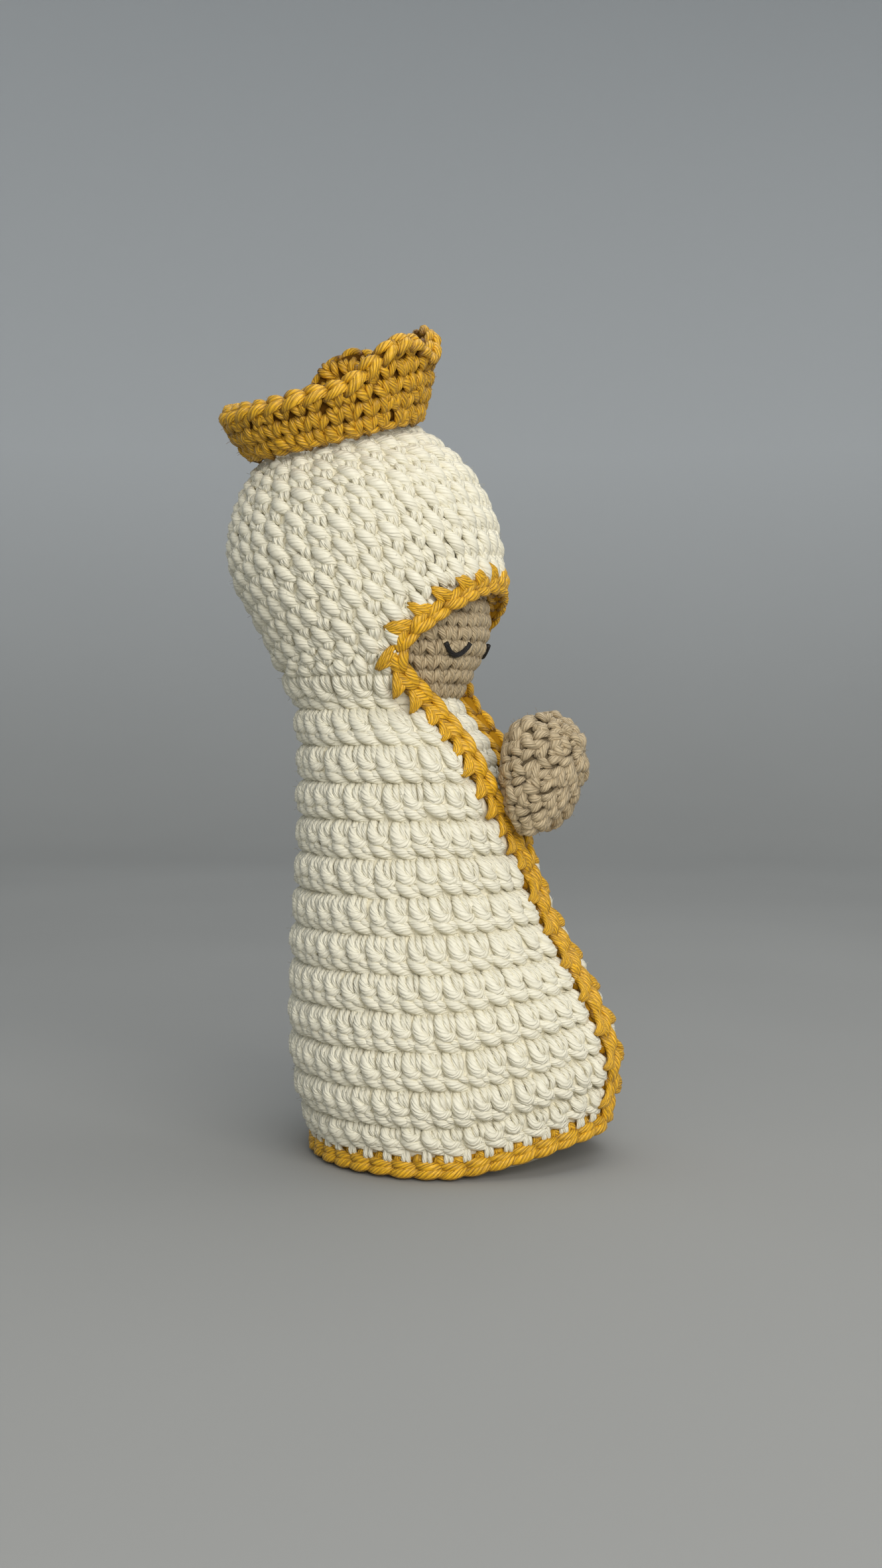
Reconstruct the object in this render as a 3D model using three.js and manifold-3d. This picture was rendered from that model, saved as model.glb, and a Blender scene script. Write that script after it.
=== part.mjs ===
// A crocheted praying doll: stuffed dress, head and hands, a hooded mantle with a gold edging, a gold crown.
// Millimetres, +Z up. The doll faces -Y and its right hand is at -X. The origin is the middle of the flat
// underside. Angles around the doll are counted from its front towards its right side.
import * as THREE from "three";
import { mergeVertices } from "three/addons/utils/BufferGeometryUtils.js";
import Module from "manifold-3d";

const wasm = await Module();
wasm.setup();

// Crochet fabric and clearances
const seatGap = 0.3;
const dressWall = 2.6;
const mantleWall = 3.0;
const mantleSlack = 0.25; // added to the gap under the mantle, which hangs free of the dress
const headWall = 2.6;
const handWall = 1.4;
const crownWall = 2.4;

// Dress: an oblique cone, nearly upright at the back and sloping at the front
const baseRadius = 19.6;
const baseWall = 2.4;
const discThickness = 1.2;
const hip = { height: 14, back: 0.9, radius: 22.3 };
const waist = { height: 55, back: 6.3, radius: 16.5 };
const shoulder = { height: 69, back: 7.6, radius: 15.1 };
const neckHeight = 78;
const neckBack = 11.2;
const neckRadius = 12.6;

// Head: a ball over a jaw that narrows to the neck
const headRadius = 20.3;
const headHeight = 103;
const headBack = 15.2;
const jawExtraRadius = 2.37;
const jawSlide = 0.65; // share of the jaw's height over which its middle comes forward to the neck
const coverGather = 84; // degrees up the dome at which a cover is drawn shut

// Closed eyes, one hanging arc of thread each
const eyeHeight = 87.4;
const eyeAngle = 27;
const eyeWidth = 5.8;
const eyeSag = 2.0;
const threadRadius = 0.45;

// Face opening of the hood: a wedge in side view, with its corner at the temple
const templeHeight = 85.7;
const templeBack = 6.7;
const browSlope = 43.5;
const cheekFootBack = 2.9; // where the opening's lower edge comes down to the neck

// Front opening and flared keel of the mantle
const openHalfWidth = 9.4;
const openFrom = 48; // closed below here, fully open at the shoulder
const keelFlare = 5.3;
const keelFrom = 8;
const keelTo = 48;
const keelAngle = 60;
const cornerLift = 5.0; // of the hem's front corners off the ground
const liftTo = 50;
const liftAngle = 75;

// Ridges of the mantle's rows, the topmost of them on the hood, and tilted rounds of the hood above it
const ridgePitch = 6.15;
const ridgeTop = 82.65; // height of the groove over the topmost ridge
const ridgeRise = 0.4; // of a ridge over the fabric's mean face
const ridgeDepth = 1.6;
const ridgeShoulder = 0.25; // share of the pitch over which a ridge falls to its groove
const roundPitch = 3.1;
const roundDepth = 1.1;
const roundStart = 82.6; // height of the lowest round at the hood's back
const roundTiltLow = 16;
const roundTiltHigh = 25;
const tiltingRounds = 8; // rounds over which the tilt grows
const roundLevels = 13.5; // counted in rounds, up to where the hood is drawn shut

// Gold edging: a flat braid along the mantle's front edges, its hem and the face opening
const braidWidth = 2.6;
const hemHeight = 2.7;

// Praying hands
const wristRadius = 3.0;
const wristDrop = 6; // below the shoulder
const handLength = 12.6;
const handHalfHeight = 9.3;
const handHalfThickness = 4.7;
const handSlope = 8;
const handTipHeight = 4.6; // of the fingertips over the wrist, before the hands' slope
const handFullNear = 0.72; // below 1 the hand is fullest near the wrist
const handRoundness = 0.55;
const wristSeam = 0.85; // share of the wrist's radius at which its ball is gathered and sewn on
const wristHole = 0.33; // share of the seam's radius left open where the wrist is gathered

// Crown: a flared band with uneven points, seated back on the hood
const crownTiltBack = 9.5;
const crownTiltRight = 13;
const crownBaseRadius = 15;
const crownBandLean = 28;
const crownPointLean = 4;
const crownFrontLean = 14; // added to the points' lean at the front, taken away at the back
const crownBandHeight = 5.6;
const crownRimLow = 3.2;
const crownPoints = [
  { angle: 22, height: 5.0 },
  { angle: -36, height: 6.2 },
  { angle: -92, height: 5.6 },
  { angle: 170, height: 0.6 },
];
const crownPointSpread = 40;

// Facets
const roundSteps = 28;
const dressRows = 7;
const shoulderRows = 3;
const jawRows = 6;
const domeRows = 6;
const mantleSteps = 24;
const edgingRows = 14;
const hemSteps = 36;
const stuffingSteps = 16;
const jawFillRows = 5;
const domeFillRows = 4;
const braidSides = 8;
const cheekSteps = 4;
const browSteps = 10;
const eyeSteps = 8;
const crownSteps = 36;
const crownRows = 2;
const handStations = [0, 0.08, 0.2, 0.35, 0.5, 0.65, 0.8, 0.9, 0.96]; // shares of the hand's length
const fillStations = [0.1, 0.25, 0.45, 0.65, 0.8];
const liningEnd = 0.9;
const weldDistance = 1e-4;
const halvings = 40;

const cream = { color: 0xeee9d8, roughness: 0.95, metalness: 0 };
const gold = { color: 0xbf8a2c, roughness: 0.9, metalness: 0 };
const beige = { color: 0xc3ad8b, roughness: 0.95, metalness: 0 };
const black = { color: 0x17140f, roughness: 0.8, metalness: 0 };
const fibre = { color: 0xf4f2ec, roughness: 1, metalness: 0 };
const card = { color: 0xa98f6d, roughness: 0.9, metalness: 0 };

const { degToRad, radToDeg, euclideanModulo, smoothstep, lerp } = THREE.MathUtils;
const vec = (x, y, z) => new THREE.Vector3(x, y, z);
const doll = new THREE.Group();

function place(name, geometry, finish, parent = doll) {
  const mesh = new THREE.Mesh(geometry, new THREE.MeshStandardMaterial(finish));
  mesh.name = name;
  parent.add(mesh);
}

// One closed body from points and triangles, turned so that its faces point out.
function closedBody(points, faces) {
  let volume = 0;
  for (let i = 0; i < faces.length; i += 3) {
    const [a, b, c] = [points[faces[i]], points[faces[i + 1]], points[faces[i + 2]]];
    volume += a.dot(b.clone().cross(c));
  }
  const geometry = new THREE.BufferGeometry().setFromPoints(points);
  geometry.setIndex(volume < 0 ? faces.reverse() : faces);
  geometry.computeVertexNormals();
  return geometry;
}

function addQuad(faces, a, b, c, d) {
  faces.push(a, b, c, a, c, d);
}

// Rings of equal count joined in order. An open run is capped at both ends, a looped one closes on itself.
function loft(rings, looped = false) {
  const count = rings[0].length;
  const points = rings.flat();
  const faces = [];
  const joins = looped ? rings.length : rings.length - 1;
  for (let j = 0; j < joins; j++) {
    const low = j * count;
    const high = ((j + 1) % rings.length) * count;
    for (let i = 0; i < count; i++) {
      const next = (i + 1) % count;
      addQuad(faces, low + i, low + next, high + next, high + i);
    }
  }
  if (!looped) {
    const top = (rings.length - 1) * count;
    const ends = [rings[0], rings[rings.length - 1]];
    const sums = ends.map((ring) => ring.reduce((sum, p) => sum.add(p), vec(0, 0, 0)));
    points.push(...sums.map((sum) => sum.divideScalar(count)));
    for (let i = 0; i < count; i++) {
      const next = (i + 1) % count;
      faces.push(points.length - 2, next, i);
      faces.push(points.length - 1, top + i, top + next);
    }
  }
  return closedBody(points, faces);
}

// A sheet with thickness, closed along its four edges. Its inner face may have fewer rows than its outer one.
function thickSheet(outer, inner) {
  const columns = outer[0].length;
  const points = [...outer.flat(), ...inner.flat()];
  const out = (j, i) => j * columns + i;
  const inn = (j, i) => (outer.length + j) * columns + i;
  const outTop = outer.length - 1;
  const innTop = inner.length - 1;
  const faces = [];
  for (let i = 0; i < columns - 1; i++) {
    for (let j = 0; j < outTop; j++) addQuad(faces, out(j, i), out(j, i + 1), out(j + 1, i + 1), out(j + 1, i));
    for (let j = 0; j < innTop; j++) addQuad(faces, inn(j, i), inn(j + 1, i), inn(j + 1, i + 1), inn(j, i + 1));
    addQuad(faces, out(0, i), inn(0, i), inn(0, i + 1), out(0, i + 1));
    addQuad(faces, out(outTop, i), out(outTop, i + 1), inn(innTop, i + 1), inn(innTop, i));
  }
  // Up each side edge, one triangle at a time, with the next row of whichever face is lower.
  for (const i of [0, columns - 1]) {
    let [j, k] = [0, 0];
    while (j < outTop || k < innTop) {
      const onOuter = k === innTop || (j < outTop && outer[j + 1][i].z < inner[k + 1][i].z);
      const corners = [out(j, i), onOuter ? out(j + 1, i) : inn(k + 1, i), inn(k, i)];
      faces.push(...(i === 0 ? corners : corners.reverse()));
      if (onOuter) j += 1;
      else k += 1;
    }
  }
  return closedBody(points, faces);
}

// A flat braid: an eight-sided section carried along a path, with its half thickness along the outward
// direction and its half width along the side direction.
function braid(path, outward, side, halfWidth, halfThickness) {
  const reach = 1 / Math.cos(Math.PI / braidSides);
  const rings = path.map((centre, k) => Array.from({ length: braidSides }, (_, i) => {
    const turn = (2 * Math.PI * (i + 0.5)) / braidSides;
    return centre.clone()
      .addScaledVector(outward[k], reach * halfThickness * Math.cos(turn))
      .addScaledVector(side[k], reach * halfWidth * Math.sin(turn));
  }));
  return loft(rings);
}

// Direction of a path at each of its points.
function headings(path) {
  return path.map((_, k) => {
    const before = path[Math.max(k - 1, 0)];
    const after = path[Math.min(k + 1, path.length - 1)];
    return after.clone().sub(before).normalize();
  });
}

// Directions square to a path and to its outward directions.
function crosswise(path, outward) {
  return headings(path).map((ahead, k) => ahead.cross(outward[k]).normalize());
}

function toSolid(geometry) {
  const bare = geometry.clone();
  bare.deleteAttribute("normal");
  bare.deleteAttribute("uv");
  const merged = mergeVertices(bare, weldDistance);
  const vertProperties = new Float32Array(merged.attributes.position.array);
  const triVerts = new Uint32Array(merged.index.array);
  return new wasm.Manifold(new wasm.Mesh({ numProp: 3, vertProperties, triVerts }));
}

function toGeometry(solid) {
  const mesh = solid.getMesh();
  const geometry = new THREE.BufferGeometry();
  geometry.setAttribute("position", new THREE.BufferAttribute(mesh.vertProperties, 3));
  geometry.setIndex(new THREE.BufferAttribute(mesh.triVerts, 1));
  geometry.computeVertexNormals();
  return geometry;
}

// Points of a level circle whose centre lies back from the origin.
function circle(height, back, radius, steps) {
  return Array.from({ length: steps }, (_, i) => {
    const turn = (2 * Math.PI * i) / steps;
    return vec(-radius * Math.sin(turn), back - radius * Math.cos(turn), height);
  });
}

// Heights from low to high in equal steps, both ends included.
function spread(low, high, steps) {
  return Array.from({ length: steps + 1 }, (_, i) => lerp(low, high, i / steps));
}

// The last value from low to high that passes a test, by halving.
function lastPassing(passes, low, high) {
  for (let k = 0; k < halvings; k++) {
    const middle = (low + high) / 2;
    if (passes(middle)) low = middle;
    else high = middle;
  }
  return low;
}

const base = { height: 0, back: 0, radius: baseRadius };
const wristHeight = shoulder.height - wristDrop;
const neck = { height: neckHeight, back: neckBack, radius: neckRadius };
const dressStations = [base, hip, waist, shoulder, neck];
const dressCurve = new THREE.CubicInterpolant(
  dressStations.map((s) => s.height), dressStations.flatMap((s) => [s.back, s.radius]), 2);

// Centre and radius of the dress at a height.
function dressForm(height) {
  const [back, radius] = dressCurve.evaluate(height);
  return { back, radius };
}

// Centre and radius of the head at a height, grown by an offset: a round dome above the middle of the ball,
// and below it a jaw that draws in to the neck.
function headForm(height, offset = 0) {
  const rise = height - headHeight;
  if (rise >= 0) {
    const radius = Math.sqrt(Math.max((headRadius + offset) ** 2 - rise ** 2, 0));
    return { back: headBack, radius };
  }
  const t = -rise / (headHeight - neckHeight);
  const keep = 2 * t ** 3 - 3 * t ** 2 + 1;
  const full = jawExtraRadius * (27 / 4) * (t ** 2 - t ** 3); // greatest two thirds of the way down
  const radius = headRadius * keep + neckRadius * (1 - keep) + full + offset;
  return { back: lerp(headBack, neckBack, smoothstep(t, 0, jawSlide)), radius };
}

function dressRing(height, offset, steps = roundSteps) {
  const { back, radius } = dressForm(height);
  return circle(height, back, radius + offset, steps);
}

// Rings of the head's form from the neck up to near its top.
function headRings(offset, bottom, jawSteps, domeSteps, steps = roundSteps) {
  const jaw = spread(bottom, headHeight, jawSteps);
  const dome = spread(0, coverGather, domeSteps).slice(1)
    .map((lift) => headHeight + (headRadius + offset) * Math.sin(degToRad(lift)));
  return [...jaw, ...dome].map((height) => {
    const { back, radius } = headForm(height, offset);
    return circle(height, back, radius, steps);
  });
}

// A cover that is open at the neck, between an outer run of rings and the head's form at an offset.
function headCover(outer, innerOffset) {
  const inner = headRings(innerOffset, headBottom, jawRows, domeRows);
  return loft([...outer.reverse(), ...inner]);
}

const dressTop = neckHeight - seatGap / 2;
const headBottom = neckHeight + seatGap / 2;
const mantleInner = seatGap;
const mantleOuter = seatGap + mantleWall;

const wallBottom = baseWall + seatGap;
const bodyRows = [
  ...spread(wallBottom, shoulder.height, dressRows),
  ...spread(shoulder.height, dressTop, shoulderRows).slice(1),
];

function makeDress() {
  const outer = bodyRows.map((height) => dressRing(height, 0));
  const inner = bodyRows.map((height) => dressRing(height, -dressWall));
  place("dress", loft([...outer, ...inner.reverse()], true), cream);
  place("dress_base", loft([dressRing(0, 0), dressRing(baseWall, 0)]), cream);

  const lining = -dressWall - seatGap;
  const discTop = wallBottom + discThickness;
  place("base_disc", loft([dressRing(wallBottom, lining), dressRing(discTop, lining)]), card);
  const fillBottom = discTop + seatGap;
  const fillHeights = [fillBottom, ...bodyRows.filter((height) => height > fillBottom)];
  const fill = fillHeights.map((height) => dressRing(height, lining, stuffingSteps));
  place("body_stuffing", loft(fill), fibre);
}

function makeHead() {
  place("head", headCover(headRings(0, headBottom, jawRows, domeRows), -headWall), beige);
  const fill = headRings(-headWall - seatGap, headBottom, jawFillRows, domeFillRows, stuffingSteps);
  place("head_stuffing", loft(fill), fibre);

  for (const [name, side] of [["eye_right", 1], ["eye_left", -1]]) {
    const path = [];
    const outward = [];
    for (const s of spread(-1, 1, eyeSteps)) {
      const height = eyeHeight - eyeSag * (1 - s ** 2);
      const { back, radius } = headForm(height, seatGap + threadRadius);
      const turn = side * (degToRad(eyeAngle) + (s * eyeWidth) / 2 / radius);
      outward.push(vec(-Math.sin(turn), -Math.cos(turn), 0));
      path.push(vec(0, back, height).addScaledVector(outward[outward.length - 1], radius));
    }
    place(name, braid(path, outward, crosswise(path, outward), threadRadius, threadRadius), black);
  }
}

const browRise = Math.tan(degToRad(browSlope));
const cheekRise = (templeHeight - neckHeight) / (templeBack - cheekFootBack);

// Direction out of the head's form at a point: level up to the middle of the ball, and from its middle above.
function outOfHead(point) {
  const { back } = headForm(point.z);
  return point.clone().sub(vec(0, back, Math.min(point.z, headHeight))).normalize();
}

// A round of the hood's stitches, at a level counted in rounds. Its plane starts at the hood's back and tilts
// up to the front. Its points are where rays in that plane leave the hood's form, and sink between two rounds.
function hoodRound(level) {
  const tilt = degToRad(lerp(roundTiltLow, roundTiltHigh, Math.min(level / tiltingRounds, 1)));
  const ball = headRadius + mantleOuter;
  const run = roundStart + roundPitch * level - headHeight; // up the hood's back, from the middle of its ball
  const lift = Math.max(run, 0) / ball;
  const { back, radius } = headForm(headHeight + Math.min(run, 0), mantleOuter);
  const start = vec(0, back + radius * Math.cos(lift), headHeight + Math.min(run, 0) + ball * Math.sin(lift));
  const ahead = vec(0, -Math.cos(tilt), Math.sin(tilt));
  const leaves = (from, ray) => {
    const inside = (reach) => {
      const at = from.clone().addScaledVector(ray, reach);
      const form = headForm(at.z, mantleOuter);
      return Math.hypot(at.x, at.y - form.back) < form.radius;
    };
    return from.clone().addScaledVector(ray, lastPassing(inside, 0, 2 * ball));
  };
  const middle = start.clone().lerp(leaves(start, ahead), 0.5);
  const sunk = Number.isInteger(level) ? roundDepth : 0;
  return Array.from({ length: roundSteps }, (_, i) => {
    const turn = (2 * Math.PI * i) / roundSteps;
    const ray = ahead.clone().multiplyScalar(Math.cos(turn)).setX(-Math.sin(turn));
    const point = leaves(middle, ray);
    return point.addScaledVector(outOfHead(point), -sunk);
  });
}

// The hood is the head's cover one layer out: the topmost ridge and the rounds. The face opening is cut away
// as a wedge that runs across it.
function makeHood() {
  const reach = headHeight; // well past the hood on every side
  const wedge = new THREE.Shape([
    new THREE.Vector2(-templeBack, templeHeight),
    new THREE.Vector2(-templeBack + reach, templeHeight - reach * cheekRise),
    new THREE.Vector2(-templeBack + reach, templeHeight + reach * browRise),
  ]);
  const cutter = new THREE.ExtrudeGeometry(wedge, { depth: 2 * reach, bevelEnabled: false });
  cutter.translate(0, 0, -reach);
  cutter.applyMatrix4(new THREE.Matrix4().makeBasis(vec(0, -1, 0), vec(0, 0, 1), vec(-1, 0, 0)));
  const ridge = [headBottom, ridgeTop - ridgeShoulder * ridgePitch].map((height) => {
    const { back, radius } = headForm(height, mantleOuter + ridgeRise);
    return circle(height, back, radius, roundSteps);
  });
  const rounds = spread(0, roundLevels, 2 * roundLevels).map(hoodRound);
  const cover = toSolid(headCover([...ridge, ...rounds], mantleInner));
  place("hood", toGeometry(cover.subtract(toSolid(cutter))), cream);
}

// The braid round the face: up one cheek from the neck, along the brow, and down the other cheek.
function makeFaceEdging() {
  const middle = (mantleInner + mantleOuter) / 2;
  const clear = braidWidth / 2 + seatGap;
  const browShift = clear / Math.cos(degToRad(browSlope));
  const cheekShift = clear / Math.sin(Math.atan(cheekRise));
  const browBelow = (back) => templeHeight + (templeBack - back) * browRise - browShift;
  const cheekFront = (height) => templeBack - (templeHeight - height) / cheekRise - cheekShift;

  // Where the two shifted planes meet, and the angle round the head there.
  const cornerHeight = templeHeight + (cheekShift * browRise - browShift) / (1 + browRise / cheekRise);
  const angleAt = (height) => {
    const { back, radius } = headForm(height, middle);
    return Math.acos((back - cheekFront(height)) / radius);
  };
  const pointAt = (turn, height) => {
    const { back, radius } = headForm(height, middle);
    return vec(-radius * Math.sin(turn), back - radius * Math.cos(turn), height);
  };
  const browHeight = (turn) => {
    const below = (height) => height < browBelow(pointAt(turn, height).y);
    return lastPassing(below, templeHeight, headHeight + headRadius);
  };

  const corner = angleAt(cornerHeight);
  const cheekHeights = spread(headBottom, cornerHeight, cheekSteps).slice(0, -1);
  const cheek = cheekHeights.map((height) => [angleAt(height), height]);
  const brow = spread(corner, 0, browSteps).map((turn) => [turn, browHeight(turn)]);
  const right = [...cheek, ...brow];
  const left = right.slice(0, -1).reverse().map(([turn, height]) => [-turn, height]);
  const whole = [...right, ...left];
  const path = whole.map(([turn, height]) => pointAt(turn, height));
  const outward = path.map(outOfHead);
  const side = crosswise(path, outward);
  for (const end of [0, path.length - 1]) {
    outward[end].setZ(0).normalize();
    side[end].crossVectors(vec(0, 0, 1), outward[end]);
  }
  place("face_edging", braid(path, outward, side, braidWidth / 2, mantleWall / 2), gold);
}

// Flare of the mantle's front keel at a height and an angle from the front.
function keel(height, turn) {
  const fromFront = Math.min(turn, 2 * Math.PI - turn);
  const front = 1 - smoothstep(fromFront, 0, degToRad(keelAngle));
  return keelFlare * (1 - smoothstep(height, keelFrom, keelTo)) * front;
}

// Rise of the mantle's rows towards its front edges, greatest at the hem.
function rowLift(height, turn) {
  const fromFront = Math.min(turn, 2 * Math.PI - turn);
  const front = 1 - smoothstep(fromFront, 0, degToRad(liftAngle));
  return cornerLift * (1 - smoothstep(height, 0, liftTo)) * front;
}

function mantlePoint(height, turn, offset) {
  const { back, radius } = dressForm(height);
  const reach = radius + offset + keel(height, turn);
  return vec(-reach * Math.sin(turn), back - reach * Math.cos(turn), height + rowLift(height, turn));
}

// Angle from the front at which the mantle's surface is a given distance to the side of the middle.
function turnAtSide(height, side) {
  const middle = (mantleInner + mantleOuter) / 2;
  return lastPassing((turn) => -mantlePoint(height, turn, middle).x < side, 0, Math.PI / 2);
}

// Distance from the middle to the centre of the front braid: closed below, open round the hands.
function braidSide(height) {
  const closed = braidWidth / 2 + seatGap / 2;
  return lerp(closed, openHalfWidth, smoothstep(height, openFrom, shoulder.height));
}

const mantleBottom = hemHeight + seatGap;

// Offset of the mantle's outer face at a height: proud on a ridge, sunk in the groove between two ridges.
function ridgeFace(height) {
  const fromGroove = Math.abs(euclideanModulo(ridgeTop - height + ridgePitch / 2, ridgePitch) - ridgePitch / 2);
  const sunk = Math.max(1 - fromGroove / (ridgeShoulder * ridgePitch), 0);
  return mantleOuter + ridgeRise - ridgeDepth * sunk;
}

// Heights at which the mantle's outer face bends: each groove, and where the ridges over and under it begin.
function ridgeRows() {
  const rows = [];
  for (let groove = ridgeTop; groove > 0; groove -= ridgePitch) {
    rows.unshift(...[-ridgeShoulder, 0, ridgeShoulder].map((share) => groove + share * ridgePitch));
  }
  const within = rows.filter((height) => height > mantleBottom && height < dressTop);
  return [mantleBottom, ...within, dressTop];
}

function makeMantle() {
  const sheetRow = (height, offset) => {
    const edge = turnAtSide(height, braidSide(height) + braidWidth / 2 + seatGap);
    const turns = spread(edge, 2 * Math.PI - edge, mantleSteps);
    return turns.map((turn) => mantlePoint(height, turn, offset));
  };
  const outer = ridgeRows().map((height) => sheetRow(height, ridgeFace(height)));
  const innerRows = [mantleBottom, ...bodyRows.slice(1)];
  const inner = innerRows.map((height) => sheetRow(height, mantleInner + mantleSlack));
  place("mantle", thickSheet(outer, inner), cream);

  const middle = (mantleInner + mantleOuter) / 2;
  const heights = spread(mantleBottom, dressTop, edgingRows);
  for (const [name, mirror] of [["front_edging_right", 1], ["front_edging_left", -1]]) {
    const turns = heights.map((height) => turnAtSide(height, braidSide(height)));
    const path = heights.map((height, k) => mantlePoint(height, turns[k], middle));
    const outward = turns.map((turn) => vec(-Math.sin(turn), -Math.cos(turn), 0));
    const side = turns.map((turn) => vec(-Math.cos(turn), Math.sin(turn), 0));
    for (const p of [...path, ...outward, ...side]) p.x *= mirror;
    place(name, braid(path, outward, side, braidWidth / 2, mantleWall / 2), gold);
  }

  const hemMiddle = hemHeight / 2;
  const start = turnAtSide(hemMiddle, seatGap / 2);
  const turns = spread(start, 2 * Math.PI - start, hemSteps);
  const path = turns.map((turn) => mantlePoint(hemMiddle, turn, middle));
  const up = path.map(() => vec(0, 0, 1));
  const outward = headings(path).map((ahead) => ahead.setZ(0).cross(vec(0, 0, 1)).normalize());
  place("hem_edging", braid(path, outward, up, hemHeight / 2, mantleWall / 2), gold);
}

// Share of a hand's full section at a share of its length: round at both ends.
function handSwell(along) {
  return Math.sin(Math.PI * along ** handFullNear) ** handRoundness;
}

// Level section of a hand, at a distance from the wrist, shrunk by an inset. The palm side stays flat.
function handRing(along, inset, side) {
  const distance = along * (handLength - inset);
  const wristPart = wristRadius * (1 - along);
  const halfHeight = Math.hypot(wristPart, handHalfHeight * handSwell(along));
  const halfThickness = Math.hypot(wristPart, handHalfThickness * handSwell(along));
  const aside = halfThickness + seatGap / 2;
  return Array.from({ length: stuffingSteps }, (_, i) => {
    const turn = (2 * Math.PI * i) / stuffingSteps;
    const across = aside + (halfThickness - inset) * Math.sin(turn);
    return vec(side * across, -distance, handTipHeight * along + (halfHeight - inset) * Math.cos(turn));
  });
}

// Round ring of the wrist's ball behind its hinge line.
function wristRing(behind, radius, side) {
  return Array.from({ length: stuffingSteps }, (_, i) => {
    const turn = (2 * Math.PI * i) / stuffingSteps;
    const aside = wristRadius + seatGap / 2;
    return vec(side * (aside + radius * Math.sin(turn)), behind, radius * Math.cos(turn));
  });
}

// The hands lie palm to palm. Each wrist is a ball sewn to the chest, so the hands can swing about it.
function makeHands() {
  const front = (height) => {
    const { back, radius } = dressForm(height);
    return back - radius;
  };
  const { back, radius } = dressForm(wristHeight);
  const lean = Math.atan(front(wristHeight + 1) - front(wristHeight));
  const reach = radius + (seatGap + wristRadius) / Math.cos(lean);
  const aside = wristRadius + seatGap / 2;
  const hands = new THREE.Group();
  hands.position.set(0, back - Math.sqrt(reach ** 2 - aside ** 2), wristHeight);
  hands.rotation.x = -degToRad(handSlope);
  doll.add(hands);

  const seam = wristSeam * wristRadius;
  const seamRadius = Math.sqrt(wristRadius ** 2 - seam ** 2);
  const midBall = seam / 2;
  const midRadius = Math.sqrt(wristRadius ** 2 - midBall ** 2);
  for (const [name, side] of [["right_hand", -1], ["left_hand", 1]]) {
    const outer = handStations.map((along) => handRing(along, 0, side));
    const inner = [0, ...fillStations, liningEnd].map((along) => handRing(along, handWall, side));
    const rings = [
      ...outer.reverse(),
      wristRing(midBall, midRadius, side),
      wristRing(seam, seamRadius, side),
      wristRing(seam, wristHole * seamRadius, side),
      ...inner,
    ];
    place(name, loft(rings), beige, hands);
    const fill = fillStations.map((along) => handRing(along, handWall + seatGap, side));
    place(`${name}_stuffing`, loft(fill), fibre, hands);
  }
}

// Height of the crown's rim above its band: a low edge with a rounded point at each listed angle.
function crownRise(turn) {
  let rise = crownRimLow;
  for (const { angle, height } of crownPoints) {
    const apart = Math.abs(euclideanModulo(radToDeg(turn) - angle + 180, 360) - 180);
    const share = Math.min(apart / crownPointSpread, 1);
    rise += (height * (1 + Math.cos(Math.PI * share))) / 2;
  }
  return rise;
}

// A ring of the crown at a height above its foot, which may change round the ring, leaning outwards.
function crownRing(foot, inset, heightAt) {
  return Array.from({ length: crownSteps }, (_, i) => {
    const turn = (2 * Math.PI * i) / crownSteps;
    const height = heightAt(turn);
    const pointLean = crownPointLean + crownFrontLean * Math.cos(turn);
    const bandFlare = Math.min(height, crownBandHeight) * Math.tan(degToRad(crownBandLean));
    const pointFlare = Math.max(height - crownBandHeight, 0) * Math.tan(degToRad(pointLean));
    const radius = crownBaseRadius + bandFlare + pointFlare - inset;
    return vec(-radius * Math.sin(turn), -radius * Math.cos(turn), foot + height);
  });
}

// The crown sits round the top of the hood, with the inner edge of its flat foot on the hood's dome.
function makeCrown() {
  const seat = new THREE.Group();
  seat.position.set(0, headBack, headHeight);
  seat.rotation.set(-degToRad(crownTiltBack), -degToRad(crownTiltRight), 0, "YXZ");
  doll.add(seat);

  const dome = headRadius + mantleOuter + seatGap;
  const foot = Math.sqrt(dome ** 2 - (crownBaseRadius - crownWall) ** 2);
  const ringPair = (heightAt) => [crownRing(foot, 0, heightAt), crownRing(foot, crownWall, heightAt)];
  const wall = (levels) => {
    const pairs = levels.map(ringPair);
    return loft([...pairs.map(([outer]) => outer), ...pairs.map(([, inner]) => inner).reverse()], true);
  };
  const pointFoot = crownBandHeight + seatGap;
  const riseShare = (share) => (turn) => pointFoot + share * crownRise(turn);
  const bandLevels = spread(0, crownBandHeight, crownRows).map((height) => () => height);
  place("crown_band", wall(bandLevels), gold, seat);
  place("crown_points", wall(spread(0, 1, crownRows).map(riseShare)), gold, seat);
}

makeDress();
makeHead();
makeHood();
makeFaceEdging();
makeMantle();
makeHands();
makeCrown();

export default doll;
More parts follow.
